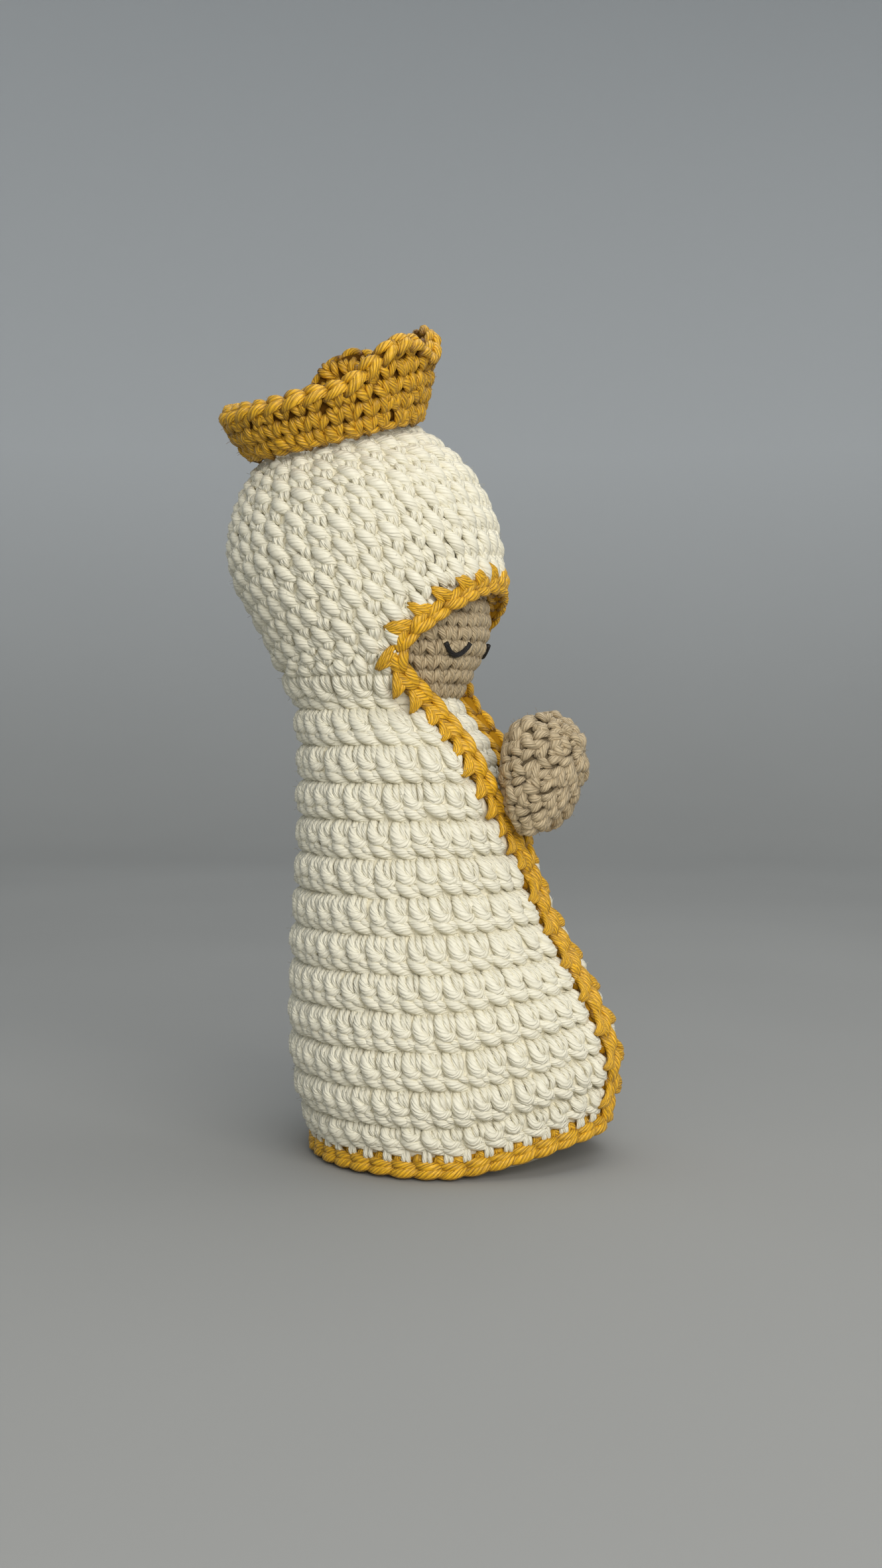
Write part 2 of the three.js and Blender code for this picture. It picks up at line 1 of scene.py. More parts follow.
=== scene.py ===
import bpy
import numpy as np
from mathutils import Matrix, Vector


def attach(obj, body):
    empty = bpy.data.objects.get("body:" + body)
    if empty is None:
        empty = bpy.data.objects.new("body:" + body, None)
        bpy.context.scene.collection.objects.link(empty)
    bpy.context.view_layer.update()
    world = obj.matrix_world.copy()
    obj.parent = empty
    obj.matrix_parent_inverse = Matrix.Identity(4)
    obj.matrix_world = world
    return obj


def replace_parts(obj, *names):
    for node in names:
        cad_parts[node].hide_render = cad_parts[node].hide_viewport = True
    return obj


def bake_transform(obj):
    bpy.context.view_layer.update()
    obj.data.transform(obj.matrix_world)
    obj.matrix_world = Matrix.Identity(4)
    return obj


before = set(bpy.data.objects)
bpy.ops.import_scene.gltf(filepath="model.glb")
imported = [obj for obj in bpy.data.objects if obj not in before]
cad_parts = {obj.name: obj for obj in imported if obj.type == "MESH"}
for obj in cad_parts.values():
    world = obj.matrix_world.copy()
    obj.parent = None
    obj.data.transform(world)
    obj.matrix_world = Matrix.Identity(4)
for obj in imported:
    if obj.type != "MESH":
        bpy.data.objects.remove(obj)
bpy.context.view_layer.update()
mm = 0.001  # every form below is worked out in millimetres
chance = np.random.default_rng(11)
print("frame loaded,", len(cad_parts), "nodes")

# Small sums on whole arrays


def smooth(x, low, high):  # 3t^2 - 2t^3 between low and high, flat outside
    t = np.clip((x - low) / (high - low), 0, 1)
    return t * t * (3 - 2 * t)


def mix(a, b, share):  # a at share 0, b at share 1, and a straight line between
    return a + (b - a) * share


def unit(v):  # a vector divided by its length
    return v / np.maximum(np.linalg.norm(v, axis=-1, keepdims=True), 1e-9)


def stack(x, y, z):  # three arrays, brought to one shape, as points
    return np.stack(np.broadcast_arrays(x, y, z), axis=-1).astype(float)


def halve(test, low, high):  # the last value that passes a test, by halving the span between low and high
    for _ in range(32):
        middle = (low + high) / 2
        passed = test(middle)
        low = np.where(passed, middle, low)
        high = np.where(passed, high, middle)
    return low


def throughStations(x, stations, values):
    # a cubic through the stations: inner slopes are the mean of both chords, end slopes half a chord
    h = np.array(stations, float)
    v = np.array(values, float)
    chord = np.diff(v) / np.diff(h)
    slope = np.concatenate([chord[:1] / 2, (chord[1:] + chord[:-1]) / 2, chord[-1:] / 2])
    k = np.clip(np.searchsorted(h, x) - 1, 0, len(h) - 2)
    step = h[k + 1] - h[k]
    t = np.clip((x - h[k]) / step, 0, 1)
    near = (1 + 2 * t) * (1 - t) ** 2 * v[k] + t * (1 - t) ** 2 * step * slope[k]
    far = t * t * (3 - 2 * t) * v[k + 1] + t * t * (t - 1) * step * slope[k + 1]
    return near + far


# Forms of the doll, the same as its solids

dress = {"height": (0, 14, 55, 69, 78), "back": (0, 0.9, 6.3, 7.6, 11.2),
         "radius": (19.6, 22.3, 16.5, 15.1, 12.6), "round": 3.0}
head = {"radius": 20.3, "height": 103, "back": 15.2, "neck": 78, "jaw": 2.37, "slide": 0.65,
        "round": 2.4}
mantle = {"cover": 3.3, "flare": 5.3, "flareLow": 8, "flareHigh": 48, "flareAngle": 60,
          "shut": 1.45, "open": 9.4, "openLow": 48, "openHigh": 69,
          "lift": 5.0, "liftHigh": 50, "liftAngle": 75}
face = {"templeBack": 6.7, "templeHeight": 85.7, "browSlope": 43.5, "cheekFoot": 2.9}


def dressForm(height):  # middle and radius of the dress at a height
    return (throughStations(height, dress["height"], dress["back"]),
            throughStations(height, dress["height"], dress["radius"]))


def headForm(height, out):
    # a ball above its middle, and below it a jaw that draws in to the neck along a cubic
    rise = height - head["height"]
    t = np.clip(-rise / (head["height"] - head["neck"]), 0, 1)
    keep = 2 * t ** 3 - 3 * t ** 2 + 1
    neckRadius = dress["radius"][-1]
    jaw = mix(neckRadius, head["radius"], keep) + head["jaw"] * 27 / 4 * (t ** 2 - t ** 3) + out
    dome = np.sqrt(np.maximum((head["radius"] + out) ** 2 - rise ** 2, 0))
    back = mix(head["back"], dress["back"][-1], smooth(t, 0, head["slide"]))
    return back, np.where(rise >= 0, dome, jaw)


def coverForm(height):  # outer face of the mantle below the neck and of the hood above it
    lowBack, lowRadius = dressForm(height)
    highBack, highRadius = headForm(height, mantle["cover"])
    below = height < head["neck"]
    return np.where(below, lowBack, highBack), np.where(below, lowRadius + mantle["cover"], highRadius)


def mantlePoint(turn, height, out):
    # circles about the dress, with a keel that grows towards the hem and the front,
    # and front corners that lift
    back, radius = coverForm(height)
    fromFront = np.degrees(np.arccos(np.clip(np.cos(turn), -1, 1)))
    low = 1 - smooth(height, mantle["flareLow"], mantle["flareHigh"])
    reach = radius + out + mantle["flare"] * low * (1 - smooth(fromFront, 0, mantle["flareAngle"]))
    lift = mantle["lift"] * (1 - smooth(height, 0, mantle["liftHigh"]))
    lift = lift * (1 - smooth(fromFront, 0, mantle["liftAngle"]))
    return stack(-reach * np.sin(turn), back - reach * np.cos(turn), height + lift)


cheekRise = (face["templeHeight"] - head["neck"]) / (face["templeBack"] - face["cheekFoot"])
browRise = np.tan(np.radians(face["browSlope"]))


def edgeTurn(height, clear):
    # angle from the front to the edge of the opening: a set distance aside below the neck,
    # and the cheek's slope above it
    aside = mix(mantle["shut"], mantle["open"], smooth(height, mantle["openLow"], mantle["openHigh"])) + clear
    low = halve(lambda turn: -mantlePoint(turn, height, -1.5)[..., 0] < aside,
                height * 0, height * 0 + np.pi / 2)
    back, radius = coverForm(height)
    cheek = face["templeBack"] - (face["templeHeight"] - height) / cheekRise - 1.8 + clear
    high = np.arccos(np.clip((back - cheek) / (radius - 1.5), -1, 1))
    return mix(low, high, smooth(height, 75, 81))


def browHeight(turn):  # height at which the brow's slope, dropped by half a braid, meets the hood at an angle
    def under(height):
        back, radius = headForm(height, mantle["cover"] - 1.2)
        y = back - radius * np.cos(turn)
        return height < face["templeHeight"] + (face["templeBack"] - y) * browRise - 2.1
    return halve(under, turn * 0 + 80.0, turn * 0 + 120.0)


# Rounds of the hood: planes that tilt up to the front more and more, then keep their tilt over the dome
hood = {"lowTilt": 16, "tilt": 25, "tiltRows": 8, "fanRows": 2, "pitch": 3.1, "start": 82.6, "top": 15,
        "stitch": 4.2, "shift": -0.2, "lift": -0.8, "browProud": 0.8}


def hoodPlanes():
    # for every quarter of a row: the tilt, and the middle of the chord that the plane cuts in the side view
    levels = np.arange(-hood["fanRows"], 16.01, 0.25)
    low = np.minimum(levels, 0) / hood["fanRows"]
    bent = np.clip(levels, 0, hood["tiltRows"])
    tilt = np.radians(np.where(levels < 0, hood["lowTilt"] * (1 + low),
                               mix(hood["lowTilt"], hood["tilt"], bent / hood["tiltRows"])))
    ball = head["radius"] + mantle["cover"]
    run = hood["start"] + hood["pitch"] * np.maximum(levels, 0) + 0.4 * low  # up the hood's back
    run = run - head["height"]
    lift = np.clip(run / ball, 0, np.pi / 2 - np.radians(hood["tilt"]) - 0.005)
    foot = head["height"] + np.minimum(run, 0)
    back, radius = coverForm(foot)
    y, z = back + radius * np.cos(lift), foot + ball * np.sin(lift)

    def inside(reach):
        back, radius = coverForm(z + reach * np.sin(tilt))
        return np.abs(y - reach * np.cos(tilt) - back) < radius + 0.01
    chord = halve(inside, 0 * y + 0.01, 0 * y + 60)
    return levels, tilt, y - chord / 2 * np.cos(tilt), z + chord / 2 * np.sin(tilt)


hoodLevels, hoodTilts, hoodMiddleY, hoodMiddleZ = hoodPlanes()


def hoodPoint(share, level, out):
    # a ray from the round's middle, in the round's own plane, followed until it meets the hood's form
    tilt = np.interp(level, hoodLevels, hoodTilts)
    originY = np.interp(level, hoodLevels, hoodMiddleY)
    originZ = np.interp(level, hoodLevels, hoodMiddleZ)
    angle = 2 * np.pi * share
    stepX = -np.sin(angle)
    stepY = -np.cos(angle) * np.cos(tilt)
    stepZ = np.cos(angle) * np.sin(tilt)

    def inside(reach):
        height = originZ + reach * stepZ
        y = originY + reach * stepY
        back, radius = coverForm(height)
        whole = head["radius"] + mantle["cover"] + out
        ball = np.sqrt(np.maximum(whole ** 2 - (height - head["height"]) ** 2, 0))
        proud = hood["browProud"] * smooth(-y, -4, 6) * smooth(height, 90, 96) * (1 - smooth(height, 98, 112))
        grown = np.where(height < head["height"], radius + out, ball) + proud
        return np.hypot(reach * stepX, y - back) < grown
    reach = halve(inside, 0 * (share + level + out), 0 * (share + level + out) + 45)
    return stack(reach * stepX, originY + reach * stepY, originZ + reach * stepZ)


def headPoint(share, level, out):  # level rounds of the face
    height = head["neck"] + head["round"] * level
    back, radius = headForm(height, out)
    turn = 2 * np.pi * share
    return stack(-radius * np.sin(turn), back - radius * np.cos(turn), height)


def dressPoint(share, level, out):  # level rounds of the dress
    height = dress["round"] * level
    back, radius = dressForm(height)
    turn = 2 * np.pi * share
    return stack(-(radius + out) * np.sin(turn), back - (radius + out) * np.cos(turn), height)


# Gold edging line: up the right front edge, round the face, and down the left front edge
edgeDepth = -1.0  # of the line under the outer face
front = np.linspace(1.6, 77.2, 90)
cheek = np.linspace(78.5, 84.4, 8)
rising = np.concatenate([front, cheek])
risingTurn = edgeTurn(rising, 0)
corner = risingTurn[-1] * 0.97
browTurn = np.linspace(corner, 0, 30)
rightSide = np.concatenate([mantlePoint(risingTurn, rising, edgeDepth),
                            mantlePoint(browTurn, browHeight(browTurn), edgeDepth)])
leftSide = rightSide[-2::-1] * (-1, 1, 1)
rough = np.concatenate([rightSide, leftSide])
for _ in range(6):  # soften the corner at the temple
    rough[1:-1] = (rough[:-2] + 2 * rough[1:-1] + rough[2:]) / 4


def evenPath(points, step, closed=False):  # the same line with points a set distance apart
    if closed:
        points = np.concatenate([points, points[:1]])
    run = np.concatenate([[0], np.cumsum(np.linalg.norm(np.diff(points, axis=0), axis=1))])
    at = np.linspace(0, run[-1], int(round(run[-1] / step)) + 1)
    return at, np.stack([np.interp(at, run, points[:, k]) for k in range(3)], axis=1)


edgeRun, edgeLine = evenPath(rough, 0.6)
edgeBack, _ = coverForm(edgeLine[:, 2])
edgeOut = unit(edgeLine * (1, 1, 0) - np.stack([0 * edgeBack, edgeBack, 0 * edgeBack], axis=1))
edgeWhite = unit(np.cross(edgeOut, np.gradient(edgeLine, axis=0)))  # square to the line, into the white cloth

hemTurns = np.linspace(0.07, 2 * np.pi - 0.07, 300)
hemRun, hemLine = evenPath(mantlePoint(hemTurns, hemTurns * 0 + 1.95, -0.4), 0.6)
hemOut = unit(np.cross(np.gradient(hemLine, axis=0), (0, 0, 1)))
hemOut = hemOut * np.sign((hemOut * (hemLine - (0, 3, 0))).sum(1, keepdims=True))


def alongLine(run, line, aside, outward):  # a surface along a line: place, sideways step, step outwards
    def at(values, x):
        return np.stack([np.interp(x, run, values[:, k]) for k in range(3)], axis=-1)

    def point(x, side, out):
        x, side, out = np.broadcast_arrays(x, side, out)
        return at(line, x) + side[..., None] * at(aside, x) + out[..., None] * at(outward, x)
    return point


total = edgeRun[-1]
neckRun = float(np.interp(78, edgeLine[:150, 2], edgeRun[:150]))
openRun = float(np.interp(50, edgeLine[:150, 2], edgeRun[:150]))
edgePoint = alongLine(edgeRun, edgeLine, edgeWhite, edgeOut)
edgeInner = alongLine(edgeRun, edgeLine - 0.7 * edgeOut, edgeWhite, -edgeOut)  # the same edging from inside
hemPoint = alongLine(hemRun, hemLine, hemLine * 0 + (0, 0, 1), hemOut)


def insideWhite(points):  # signed distance from the edging line, positive on the white cloth
    gap = points[:, None, :] - edgeLine[None]
    near = np.linalg.norm(gap, axis=2).argmin(1)
    return (gap[np.arange(len(points)), near] * edgeWhite[near]).sum(1)


# Stitches: each strand is a list of (along, up, out, half width, half thickness)
# along and up are shares of the cell, and the rest is in millimetres
strandPoints = 9
strandSides = 6
plump = 1.04  # a ring of few sides lies inside its oval
fibrePoints = 4

roundStitch = [  # a fat leaf that leans, two uprights beside its top, and two thin leaves at its foot
    [(0.14, 1.10, -0.5, 0.55, 0.5), (0.25, 0.80, 0.2, 1.0, 0.78), (0.40, 0.50, 0.46, 1.16, 0.9),
     (0.55, 0.22, 0.2, 1.0, 0.78), (0.70, -0.08, -0.5, 0.55, 0.5)],
    [(0.52, 0.72, -0.1, 0.45, 0.42), (0.61, 0.98, 0.45, 0.58, 0.5), (0.68, 1.24, -0.4, 0.4, 0.36)],
    [(0.70, 0.60, -0.1, 0.45, 0.42), (0.79, 0.88, 0.42, 0.58, 0.5), (0.86, 1.14, -0.4, 0.4, 0.36)],
    [(-0.06, 0.66, -0.4, 0.5, 0.42), (0.06, 0.30, 0.2, 0.8, 0.62), (0.20, -0.10, -0.4, 0.5, 0.42)],
    [(0.70, 0.60, -0.5, 0.4, 0.4), (0.82, 0.34, 0.05, 0.66, 0.5), (0.94, 0.04, -0.5, 0.4, 0.4)],
]
ridgeStitch = [  # a fat leg that hooks aside at its foot, two uprights in it, and two leaves under it
    [(0.26, 1.08, -0.8, 0.5, 0.45), (0.15, 0.88, 0.1, 0.8, 0.62), (0.17, 0.64, 0.42, 0.96, 0.76),
     (0.36, 0.44, 0.5, 1.0, 0.8), (0.66, 0.42, 0.25, 0.78, 0.6), (0.90, 0.50, -0.5, 0.45, 0.4)],
    [(0.50, 1.08, -0.6, 0.4, 0.36), (0.50, 0.88, 0.25, 0.54, 0.46), (0.53, 0.68, 0.36, 0.54, 0.46),
     (0.58, 0.48, -0.1, 0.4, 0.36)],
    [(0.75, 1.08, -0.6, 0.4, 0.36), (0.77, 0.88, 0.15, 0.54, 0.46), (0.79, 0.68, 0.22, 0.54, 0.45),
     (0.76, 0.48, -0.2, 0.4, 0.36)],
    [(-0.16, 0.42, -0.6, 0.5, 0.4), (0.12, 0.29, 0.15, 0.84, 0.62), (0.46, 0.17, 0.36, 0.95, 0.72),
     (0.80, 0.06, 0.12, 0.8, 0.6), (1.06, -0.06, -0.6, 0.45, 0.4)],
    [(0.44, 0.38, -0.4, 0.4, 0.32), (0.74, 0.28, 0.24, 0.62, 0.48), (1.02, 0.16, -0.3, 0.42, 0.35)],
]
closeStitch = [  # two plump leaves that meet at the foot, and an upright between their tops
    [(0.02, 1.14, -0.35, 0.5, 0.42), (0.15, 0.80, 0.2, 0.84, 0.66), (0.33, 0.40, 0.26, 0.76, 0.62),
     (0.50, -0.08, -0.35, 0.42, 0.36)],
    [(0.98, 1.14, -0.35, 0.5, 0.42), (0.86, 0.80, 0.22, 0.8, 0.64), (0.70, 0.42, 0.24, 0.72, 0.6),
     (0.54, -0.06, -0.35, 0.42, 0.36)],
    [(0.48, 1.20, -0.4, 0.4, 0.36), (0.50, 0.92, 0.25, 0.54, 0.44), (0.52, 0.60, -0.2, 0.4, 0.36)],
]


def reshaped(stitch, along=(1, 0), up=(1, 0)):  # the same stitch, scaled and shifted in its cell
    return [[(a * along[0] + along[1], u * up[0] + up[1], *rest) for a, u, *rest in strand]
            for strand in stitch]


endForEnd = (-1, 1)


def strandCurves(stitch):  # every strand of a stitch as a smooth row of points
    curves = []
    for strand in stitch:
        knots = np.array(strand, float)
        at = np.linspace(0, len(knots) - 1, strandPoints)
        curves.append([throughStations(at, np.arange(len(knots)), knots[:, k]) for k in range(5)])
    return np.array(curves).transpose(0, 2, 1)


def layStitches(stitch, place, start, width, row, lift, grow=1.0, wobble=0.05, spin=0.0, heave=0.07):
    # strands of one stitch repeated over cells: along runs against the share, up runs with the level
    curves = strandCurves(stitch)
    shape = (len(start), len(curves), 1)
    along, up, out, wide, thick = (curves[None, :, :, k] for k in range(5))
    turn = chance.normal(0, spin + 1e-9, (len(start), 1, 1))
    along, up = (0.5 + (along - 0.5) * np.cos(turn) - (up - 0.5) * np.sin(turn),
                 0.5 + (along - 0.5) * np.sin(turn) + (up - 0.5) * np.cos(turn))
    along = along + chance.normal(0, wobble, (len(start), 1, 1)) + chance.normal(0, wobble / 2, shape)
    up = up + chance.normal(0, wobble * 0.7, (len(start), 1, 1)) + chance.normal(0, wobble / 2, shape)
    swell = grow * (1 + chance.normal(0, 0.07, shape))
    share = start[:, None, None] + (1 - along) * width[:, None, None]
    level = row[:, None, None] + up
    high = lift + out * grow + chance.normal(0, heave, shape)
    path = place(share, level, high)
    outward = unit(place(share, level, high + 0.3) - path)
    # deep: how far each point lies under the surface, which the yarn finish turns into painted shade at the
    # roots
    deep = np.broadcast_to(smooth(out, -0.8, 0.5), path.shape[:-1])
    flat = (-1, strandPoints)
    return {"path": path.reshape(*flat, 3), "outward": outward.reshape(*flat, 3),
            "wide": np.broadcast_to(wide * swell, path.shape[:-1]).reshape(flat),
            "thick": np.broadcast_to(thick * swell, path.shape[:-1]).reshape(flat),
            "deep": deep.reshape(flat)}


def joinStrands(*sets):  # several sets of strands as one
    return {key: np.concatenate([s[key] for s in sets]) for key in sets[0]}


def strayFibres(strands, count, length):
    # thin hairs: each starts in the middle of a strand, goes outwards by chance, and curls on its way
    which = chance.integers(0, len(strands["path"]), count)
    at = chance.integers(2, strandPoints - 2, count)
    outward = strands["outward"][which, at]
    aim = unit(outward + chance.normal(0, 0.6, (count, 3)))[:, None]
    curl = chance.normal(0, 0.35, (count, 1, 3))
    reach = 0.5 + length * chance.uniform(0.2, 1.0, (count, 1, 1))
    t = np.linspace(0, 1, fibrePoints)[None, :, None]
    thin = np.full((count, fibrePoints), 0.028)
    return {"path": strands["path"][which, at][:, None] + reach * (aim * t + curl * t ** 2),
            "outward": np.repeat(unit(np.cross(aim, (0.3, 0.5, 0.8))), fibrePoints, axis=1),
            "wide": thin, "thick": thin, "deep": np.ones((count, fibrePoints))}


# Meshes


def meshObject(name, points, corners, sizes, uv, values, finish):
    # points in millimetres, polygons as one run of corners with their sizes
    mesh = bpy.data.meshes.new(name)
    mesh.vertices.add(len(points))
    mesh.vertices.foreach_set("co", (points * mm).astype(np.float32).ravel())
    mesh.loops.add(len(corners))
    mesh.loops.foreach_set("vertex_index", corners.astype(np.int32))
    mesh.polygons.add(len(sizes))
    mesh.polygons.foreach_set("loop_start", np.concatenate([[0], np.cumsum(sizes)[:-1]]).astype(np.int32))
    mesh.update(calc_edges=True)
    mesh.polygons.foreach_set("use_smooth", np.ones(len(sizes), bool))
    mesh.uv_layers.new(name="yarn").data.foreach_set("uv", uv.astype(np.float32).ravel())
    for key, value in values.items():
        mesh.attributes.new(key, "FLOAT", "POINT").data.foreach_set("value", value.astype(np.float32))
    mesh.validate()
    mesh.materials.append(finish)
    made = bpy.data.objects.new(name, mesh)
    bpy.context.scene.collection.objects.link(made)
    return made


def yarnMesh(name, strands, finish, sides=strandSides):
    # an oval ring round every point of a strand, half width across and half thickness outwards,
    # closed at both ends
    path, wide, thick = strands["path"], strands["wide"][..., None, None], strands["thick"][..., None, None]
    count, steps = path.shape[:2]
    ahead = unit(np.gradient(path, axis=1))
    side = unit(np.cross(strands["outward"], ahead))
    up = np.cross(ahead, side)
    turn = 2 * np.pi * np.arange(sides) / sides
    ring = (np.cos(turn)[:, None] * side[..., None, :] * wide
            + np.sin(turn)[:, None] * up[..., None, :] * thick)
    ring = ring * plump
    points = (path[..., None, :] + ring).reshape(-1, 3)
    strand, step, spoke = np.meshgrid(np.arange(count), np.arange(steps - 1), np.arange(sides), indexing="ij")
    first = (strand * steps + step) * sides
    after = (spoke + 1) % sides
    quads = np.stack([first + spoke, first + after, first + sides + after, first + sides + spoke], axis=-1)
    ends = np.arange(count)[:, None] * steps * sides + np.arange(sides)[None]
    caps = np.stack([ends[:, ::-1], ends + (steps - 1) * sides], axis=1)
    run = np.zeros((count, steps))
    run[:, 1:] = np.cumsum(np.linalg.norm(np.diff(path, axis=1), axis=2), axis=1)
    run += chance.uniform(0, 20, (count, 1))
    u = np.stack([run[strand, step]] * 2 + [run[strand, step + 1]] * 2, axis=-1)
    v = np.stack([spoke, spoke + 1, spoke + 1, spoke], axis=-1) / sides
    capU = np.stack([run[:, :1] + 0 * ends, run[:, -1:] + 0 * ends], axis=1)
    uv = np.concatenate([np.stack([u, v], axis=-1).reshape(-1, 2),
                         np.stack([capU, capU * 0], axis=-1).reshape(-1, 2)])
    corners = np.concatenate([quads.ravel(), caps.ravel()])
    sizes = np.concatenate([np.full(quads[..., 0].size, 4), np.full(2 * count, sides)])
    tint = np.repeat(chance.uniform(0, 1, count), steps * sides)
    # the depth that the yarn finish turns into painted shade at the roots
    deep = np.repeat(strands["deep"].ravel(), sides)
    return meshObject(name, points, corners, sizes, uv, {"tint": tint, "deep": deep}, finish)


def gridMesh(name, rings, finish, looped=False, ends=(True, True), inward=False):
    # rings of points joined in order: an open run gets an end face where asked, a looped one closes on itself
    rows, columns = rings.shape[:2]
    row, column = np.meshgrid(np.arange(rows if looped else rows - 1), np.arange(columns), indexing="ij")
    after, higher = (column + 1) % columns, (row + 1) % rows
    quads = np.stack([row * columns + column, row * columns + after,
                      higher * columns + after, higher * columns + column], axis=-1)
    points = rings.reshape(-1, 3)
    edgeA = points[quads[..., 1]] - points[quads[..., 0]]
    edgeB = points[quads[..., 3]] - points[quads[..., 0]]
    around = column[..., None] + np.array([0, 1, 1, 0])
    upward = row[..., None] + np.array([0, 0, 1, 1])
    spoke = np.arange(columns)
    caps = [] if looped else [c for c, used in zip((spoke[::-1], spoke + (rows - 1) * columns), ends) if used]
    turned = ((np.cross(edgeA, edgeB) * points[quads[..., 0]]).sum() < 0) != inward
    if turned:  # faces the other way round
        quads, around, upward = quads[..., ::-1], around[..., ::-1], upward[..., ::-1]
        caps = [c[::-1] for c in caps]
    corners = np.concatenate([quads.ravel(), *caps])
    sizes = np.concatenate([np.full(row.size, 4), np.full(len(caps), columns)])
    uv = np.concatenate([np.stack([around / columns, upward / rows], axis=-1).reshape(-1, 2),
                         np.zeros((len(caps) * columns, 2))])
    values = {"tint": np.full(len(points), 0.5), "deep": np.zeros(len(points))}
    return meshObject(name, points, corners, sizes, uv, values, finish)


# Finishes


class Socket:
    # one output of a node: sums on it add Math nodes
    def __init__(self, finish, link):
        self.finish, self.link = finish, link

    def math(self, operation, first, second=0.5):
        return self.finish.node("ShaderNodeMath", {"operation": operation}, {0: first, 1: second})

    def other(self, output):
        return Socket(self.finish, self.link.node.outputs[output])

    def __add__(self, value):
        return self.math("ADD", self, value)

    def __sub__(self, value):
        return self.math("SUBTRACT", self, value)

    def __rsub__(self, value):
        return self.math("SUBTRACT", value, self)

    def __mul__(self, value):
        return self.math("MULTIPLY", self, value)

    def __pow__(self, value):
        return self.math("POWER", self, value)

    __radd__ = __add__
    __rmul__ = __mul__


class Finish:
    # a material, made node by node
    def __init__(self, name):
        self.material = bpy.data.materials.new(name)
        self.material.use_nodes = True
        self.tree = self.material.node_tree
        self.tree.nodes.clear()

    def node(self, kind, settings, inputs, output=0):
        made = self.tree.nodes.new(kind)
        for key, value in settings.items():
            setattr(made, key, value)
        for key, value in inputs.items():
            if isinstance(value, Socket):
                self.tree.links.new(value.link, made.inputs[key])
            else:
                made.inputs[key].default_value = value
        return Socket(self, made.outputs[output])

    def blend(self, share, first, second):  # a colour between two colours
        settings = {"data_type": "RGBA", "clamp_factor": True}
        return self.node("ShaderNodeMix", settings, {0: share, 6: first, 7: second}, 2)

    def done(self, inputs):
        shader = self.node("ShaderNodeBsdfPrincipled", {}, inputs)
        out = self.tree.nodes.new("ShaderNodeOutputMaterial")
        self.tree.links.new(shader.link, out.inputs["Surface"])
        return self.material


def yarnFinish(name, light, dark, root=0.35, fall=1.0, crease=0.4, fleckAndGlint=0.62, sheen=0.08,
               rough=0.7, gloss=0.4):
    # plied cotton: plies and fibres that wind round the strand, with painted shade between plies and at the
    # strand's root, and fibre flecks that also paint glints
    plies, twist = 7, 0.16  # across a strand, and turns in a millimetre
    finish = Finish(name)
    uv = finish.node("ShaderNodeUVMap", {"uv_map": "yarn"}, {})
    along = finish.node("ShaderNodeSeparateXYZ", {}, {0: uv})
    wind = along.other(1) + along * twist
    tint = finish.node("ShaderNodeAttribute", {"attribute_name": "tint"}, {}, 2)
    deep = finish.node("ShaderNodeAttribute", {"attribute_name": "deep"}, {}, 2)
    place = finish.node("ShaderNodeCombineXYZ", {}, {0: along * 0.4, 1: wind * 11, 2: tint * 40})
    fibre = finish.node("ShaderNodeTexNoise", {}, {"Vector": place, "Scale": 2.4, "Detail": 4.0,
                                                   "Roughness": 0.65})
    wander = finish.node("ShaderNodeTexNoise", {}, {"Vector": place, "Scale": 0.5, "Detail": 1.0})
    ply = along.math("SINE", (wind + wander * 0.2) * (plies * 2 * np.pi)) * 0.5 + 0.5
    relief = ply ** 0.6 * 0.7 + fibre * 0.7
    bump = finish.node("ShaderNodeBump", {}, {"Strength": 0.75, "Distance": 0.0002, "Height": relief})
    # painted shade: darker at the root, where the strand dives under its neighbours (root, fall), and in the
    # grooves between plies (crease); tint is each strand's own tone
    shade = (root + deep ** fall * (1 - root)) * (1 - crease + ply * crease) * (0.88 + tint * 0.12)
    # fibre tone that differs at random; a large share of it also paints bright glints
    colour = finish.blend(shade + (fibre - 0.5) * fleckAndGlint, (*dark, 1), (*light, 1))
    return finish.done({"Base Color": colour, "Roughness": rough - ply * 0.25, "Normal": bump,
                        "Sheen Weight": sheen, "Sheen Roughness": 0.5, "Specular IOR Level": gloss})


def clothFinish(name, light, dark):
    # the cloth seen between strands: mottled by a fine noise in millimetres
    finish = Finish(name)
    where = finish.node("ShaderNodeTexCoord", {}, {}, 3)
    noise = finish.node("ShaderNodeTexNoise", {}, {"Vector": where, "Scale": 900.0, "Detail": 4.0})
    bump = finish.node("ShaderNodeBump", {}, {"Strength": 0.6, "Distance": 0.0004, "Height": noise})
    colour = finish.blend(noise * 1.4 - 0.2, (*dark, 1), (*light, 1))
    return finish.done({"Base Color": colour, "Roughness": 0.9 + noise * 0.1, "Normal": bump,
                        "Specular IOR Level": 0.1})


# cream yarn: light painted shade in the ply grooves, and barely any at the roots
cream = yarnFinish("creamYarn", (0.93, 0.885, 0.71), (0.72, 0.67, 0.51), root=0.95, crease=0.24, rough=0.6,
                   gloss=0.55)
creamCloth = clothFinish("creamCloth", (0.90, 0.85, 0.67), (0.78, 0.73, 0.57))
# gold yarn: near-black painted shade at the roots, and a light colour above the mean with strong flecks to
# paint glints
gold = yarnFinish("goldYarn", (1.0, 0.55, 0.022), (0.10, 0.034, 0.001), root=0.1, fall=1.6,
                  crease=0.5, fleckAndGlint=1.5, sheen=0.04, rough=0.5, gloss=0.45)
# near-black cloth under the gold stitches: painted shade in the gaps between them
paintedShadeGoldCloth = clothFinish("paintedShadeGoldCloth", (0.12, 0.05, 0.003), (0.07, 0.028, 0.002))
edgeCloth = clothFinish("edgeCloth", (0.5, 0.25, 0.012), (0.34, 0.16, 0.007))
